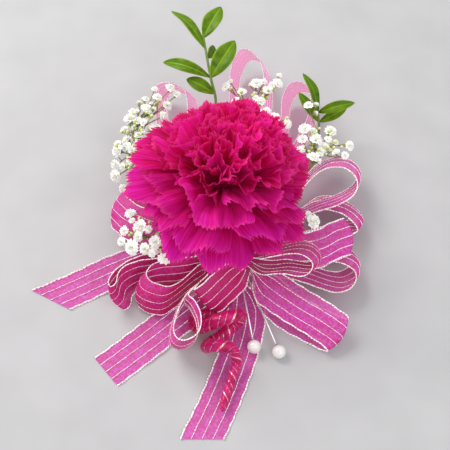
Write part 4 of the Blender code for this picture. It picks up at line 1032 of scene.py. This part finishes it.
def lay_ribbon(label, strip, held, rests_on, raise_by, organza, yarn, draw):
    """One ribbon: its woven sheet and the five metallic threads on it."""
    phase = draw.uniform(0, math.tau)
    shares = np.linspace(-1.0, 1.0, 21)
    grid = np.stack([strip.at(t, phase) for t in shares], 1).reshape(-1, 3)
    along = strip.gone * 0.1
    marks = sheet_marks(along, shares * 0.5 + 0.5, LOOP_CRIMSON.get(label, ALONE), label.startswith("loop_back"))
    faces = sheet_faces(len(along), len(shares))
    sheet = make_piece(label, (grid, faces, marks), organza, "ribbon", "ribbon_" + label)
    fineness = next((share for part, share in THREAD_SHARES.items() if label.startswith(part)), 1.0)
    threads = []
    for t in THREADS:
        radius, knots, sides = (EDGE_THREAD, 0.12, 6) if abs(t) == 1.0 else (INNER_THREAD, 0.08, 4)
        bead = 1.0 + knots * np.sin(strip.gone * 4.4 + 3.0 * t)
        threads.append(stalk(strip.at(t, phase, raise_by), radius * fineness * bead, sides, along=along))
    threads = make_piece(label + "_threads", join(threads), yarn, "ribbon")


def make_bow():
    """All loops, then the tails, whose threads lie a little higher."""
    shared = ribbon_finish(), thread_finish(), random.Random(90)
    for name, (root, points, across) in LOOPS.items():
        gather, puff = (BACK_GATHER, 0.0) if name.startswith("back") else (GATHER, PUFF)
        strip = Strip(loop_line(root, points), across, gather, puff=puff)
        lay_ribbon("loop_" + name, strip, "gathered", ["bow_tie"], 0.05, *shared)
    for name, (points, slant) in TAILS.items():
        strip = Strip(draw_line(points, 8), slant=slant)
        lay_ribbon("tail_" + name, strip, "laid", ["table", "bow_tie"], 0.25, *shared)


make_bow()


# Gathered waist of the bow.
# Every loop and tail is folded in here and bound tight round the taped stem;
# what shows is a thick collar of fine crimson folds.

WAIST = [(3.9, -7.6, 5.8), (4.7, -10.2, 6.1), (5.0, -13.0, 6.3), (5.0, -15.7, 6.3)]
WAIST_RADIUS = 5.2
WAIST_BORE = 2.5


def crimson_finish():
    """The same ribbon where many layers lie together: deep crimson folds
    with gold and silver threads glinting along them."""
    crimson = Finish("folded_ribbon", 0.4)
    across = crimson.mark("place")[0]
    cloud = crimson.mottle(300.0, 3.0)
    deep = crimson.ramp(cloud, (0.3, (0.26, 0.004, 0.05)), (0.7, (0.55, 0.012, 0.16)))
    line = crimson.calc("LESS_THAN", crimson.calc("FRACT", crimson.times(across, 22.0)), 0.14)
    glint = crimson.times(line, crimson.calc("GREATER_THAN", cloud, 0.45))
    crimson.wear({"Base Color": crimson.dye(deep, (glint, (0.95, 0.62, 0.48))),
                  "Metallic": crimson.times(glint, 0.8),
                  "Sheen Weight": 0.3, "Sheen Tint": (0.95, 0.4, 0.8)})
    crimson.emboss(cloud, 0.0003, 0.6)
    return crimson.material


def make_waist():
    """Folded collar: pleats run along the stem and nip in towards both ends.
    Its rings run out along the line and come back inside, as a plain bore."""
    line = draw_line(WAIST, 8)
    share = np.linspace(0.0, 1.0, len(line))
    reach = WAIST_RADIUS - 1.1 * (1 - ease(share / 0.25)) - 0.3 * ease((share - 0.8) / 0.2)
    order = list(range(len(line)))
    order += order[::-1]
    turn = turns(96)
    rings = []
    for k, (point, side, other) in enumerate(carried(line[order], headings(line)[order], UP)):
        if k < len(line):
            pleat = 0.30 * np.sin(turn * 21 + 2.0 * share[k]) + 0.16 * np.sin(turn * 34 + 5.0 * share[k])
            rings.append(ring(point, reach[k] + pleat, turn, side, other))
        else:
            rings.append(ring(point, WAIST_BORE, turn, side, other))
    points, faces, marks = tube(rings, share[order])
    last = len(points) - len(turn)
    edge = list(range(len(turn)))
    faces += [[last + a, last + b, b, a] for a, b in zip(edge, edge[1:] + edge[:1])]
    make_piece("bow_waist", (points, faces, marks), crimson_finish(), "ribbon", "bow_tie")


make_waist()


# Curled stem in its ribbon sleeve.
# The stem's free end is wound in the same ribbon, edge over edge, and curled
# like a pig's tail round a finger; its tip lies on the longest tail.

CURL = [(4.9, -17, 6.3), (4.4, -21, 5.8), (2.4, -26.5, 4.8), (-1.8, -31.6, 4.5),
        (-6.4, -34.4, 4.3), (-10.6, -35.9, 4.2), (-13.2, -38.8, 4.6), (-10.8, -42, 6.4),
        (-6.6, -42.8, 10.4), (-2.4, -42.2, 13.4), (3.4, -40.2, 13.6), (6.5, -38.4, 10.2),
        (4.6, -39.8, 6), (-0.4, -43.8, 4), (-5.4, -48, 4.3), (-7.4, -51, 7.2),
        (-5.8, -52.6, 11), (-2, -53.2, 12.6), (2.6, -53.8, 11.2), (4.7, -56.2, 7.6),
        (4, -60.2, 5), (1.8, -67, 3.9), (-0.2, -73, 3.2), (-1.2, -77.5, 2.6)]
WIND = 9.0
SLEEVE_RADIUS = 2.55


def sleeve_finish():
    """Wound ribbon: crimson through its layers, the woven lines running round
    it in open spirals of gold, silver and pink, with a faint painted glow of
    the crimson."""
    wound = Finish("wound_ribbon", 0.36)
    around, along = wound.mark("place")
    turn = wound.calc("FRACT", wound.calc("ADD", around, along))
    cloud = wound.mottle(420.0, 3.0)
    sparkle = wound.mottle(1700.0)
    deep = wound.dye(wound.ramp(cloud, (0.3, (0.24, 0.0, 0.03)), (0.7, (0.64, 0.0, 0.16))),
                     (wound.times(turn, 0.5), (0.66, 0.004, 0.20)))
    thick = wound.calc("LESS_THAN", turn, 0.07)
    second, third = (wound.calc("COMPARE", turn, at, half) for at, half in ((0.42, 0.015), (0.70, 0.012)))
    fine = wound.calc("MAXIMUM", second, third)
    broken = wound.times(fine, wound.calc("GREATER_THAN", sparkle, 0.47))
    bright = wound.calc("GREATER_THAN", sparkle, 0.40)
    lines = wound.times(wound.calc("MAXIMUM", thick, broken), bright)
    gold = wound.ramp(wound.mottle(260.0), (0.35, (0.90, 0.30, 0.30)), (0.5, (0.98, 0.62, 0.52)),
                      (0.65, (1.0, 0.62, 0.78)))
    # The emission is a painted glow of the crimson.
    wound.wear({"Base Color": wound.dye(deep, (lines, gold)), "Metallic": wound.times(lines, 0.8),
                "Sheen Weight": 0.12, "Sheen Tint": (0.95, 0.35, 0.7), "Specular IOR Level": 0.2,
                "Coat Weight": 0.25, "Coat Roughness": 0.2, "Emission Color": deep, "Emission Strength": 0.10})
    wound.emboss(wound.calc("ADD", cloud, lines), 0.0003, 0.7)
    return wound.material


def make_sleeve():
    """The wound sleeve: each turn of ribbon laps over the last in a step. It
    swells a little, then tapers to its rounded tip."""
    line, length = even_stations(draw_line(CURL, 10), 0.35)
    share = np.linspace(0.0, 1.0, len(line))
    radius = (SLEEVE_RADIUS + 0.35 * ease(share / 0.25) - 0.8 * ease((share - 0.66) / 0.2)
              - 0.5 * ease((share - 0.88) / 0.12))
    radius *= 1.0 - 0.75 * ease((share - 0.985) / 0.015)
    sides = 28
    turn = np.arange(sides + 1) / sides
    rings = []
    for (point, side, other), reach, gone in zip(carried(line, headings(line), UP), radius, share * length):
        step = (turn + gone / WIND) % 1.0
        lap = reach * (1.0 - 0.10 * step + 0.035 * np.sin(step * 9.0 + gone))
        rings.append(ring(point, lap, turn * math.tau, side, other))
    last = (len(rings) - 1) * len(turn)
    faces = sheet_faces(len(rings), len(turn)) + [[last + k for k in range(sides)]]
    marks = sheet_marks(share * length / WIND, turn, 0.0, 0.0)
    make_piece("curled_sleeve", (np.vstack(rings), faces, marks), sleeve_finish(), "ribbon", "stem_wrap")


make_sleeve()


# Corsage pins.
# Two steel pins, 40 mm and more, with pressed pearl heads, stuck through the
# bow from the front so that the wearer has them to hand.

# For each pin: its point and the middle of its pearl.
PINS = {
    "left": ((5.6, -13.4, 9.4), (12.1, -49.7, 3.9)),
    "right": ((7.6, -13.4, 7.8), (22.5, -51.6, 3.0)),
}
PEARL = 2.9
PEARL_RINGS = 25
PEARL_DIMPLE = 0.075
SHAFT = 0.45


def pearl_finish():
    """Pearl lacquer: warm white with a soft pink and green play in it."""
    pearl = Finish("pearl_lacquer", 0.22)
    play = pearl.ramp(pearl.mottle(330.0), (0.3, (0.90, 0.84, 0.82)), (0.5, (0.94, 0.91, 0.89)),
                      (0.7, (0.90, 0.91, 0.89)))
    pearl.wear({"Base Color": play, "Coat Weight": 0.8, "Coat Roughness": 0.08,
                "Sheen Weight": 0.3, "Sheen Tint": (1.0, 0.8, 0.85)})
    pearl.emboss(pearl.mottle(1400.0, 3.0), 0.0001, 0.4)
    return pearl.material


def steel_finish():
    """Drawn steel wire, bright, with faint lengthwise scratches."""
    steel = Finish("drawn_steel", 0.25, 1.0)
    scratch = steel.mottle(2500.0, 3.0)
    steel.wear({"Base Color": steel.ramp(scratch, (0.3, (0.86, 0.85, 0.85)), (0.7, (0.96, 0.95, 0.96))),
                "Roughness": steel.times(scratch, 0.2, 0.16)})
    steel.emboss(scratch, 0.00005, 0.5)
    return steel.material


def make_pins():
    """A shaft and a pearl for each pin, the pearl dimpled where it is set."""
    steel, lacquer = steel_finish(), pearl_finish()
    shares = np.linspace(0.0, 1.0, PEARL_RINGS)
    tilts = math.pi * (PEARL_DIMPLE + (1.0 - PEARL_DIMPLE) * shares)
    for name, (point, pearl) in PINS.items():
        point, pearl = np.array(point), np.array(pearl)
        ahead, side, other = cross_axes(pearl - point)
        end = pearl - ahead * (PEARL - 1.6)
        line = [point, point + ahead * 1.2, point + ahead * 2.5, (point + end) / 2, end]
        shaft = stalk(line, (0.12, 0.3, SHAFT, SHAFT, SHAFT), 14)
        make_piece("pin_wire_" + name, shaft, steel, "pin_steel", "pin_shaft_" + name)
        reaches = np.maximum(PEARL * np.sin(tilts), 0.02)
        rings = [ring(pearl - ahead * (PEARL * math.cos(tilt)), reach, turns(36), side, other)
                 for tilt, reach in zip(tilts, reaches)]
        head = tube(rings, shares, head=True)
        make_piece("pin_head_" + name, head, lacquer, "pearl", "pin_pearl_" + name)


make_pins()
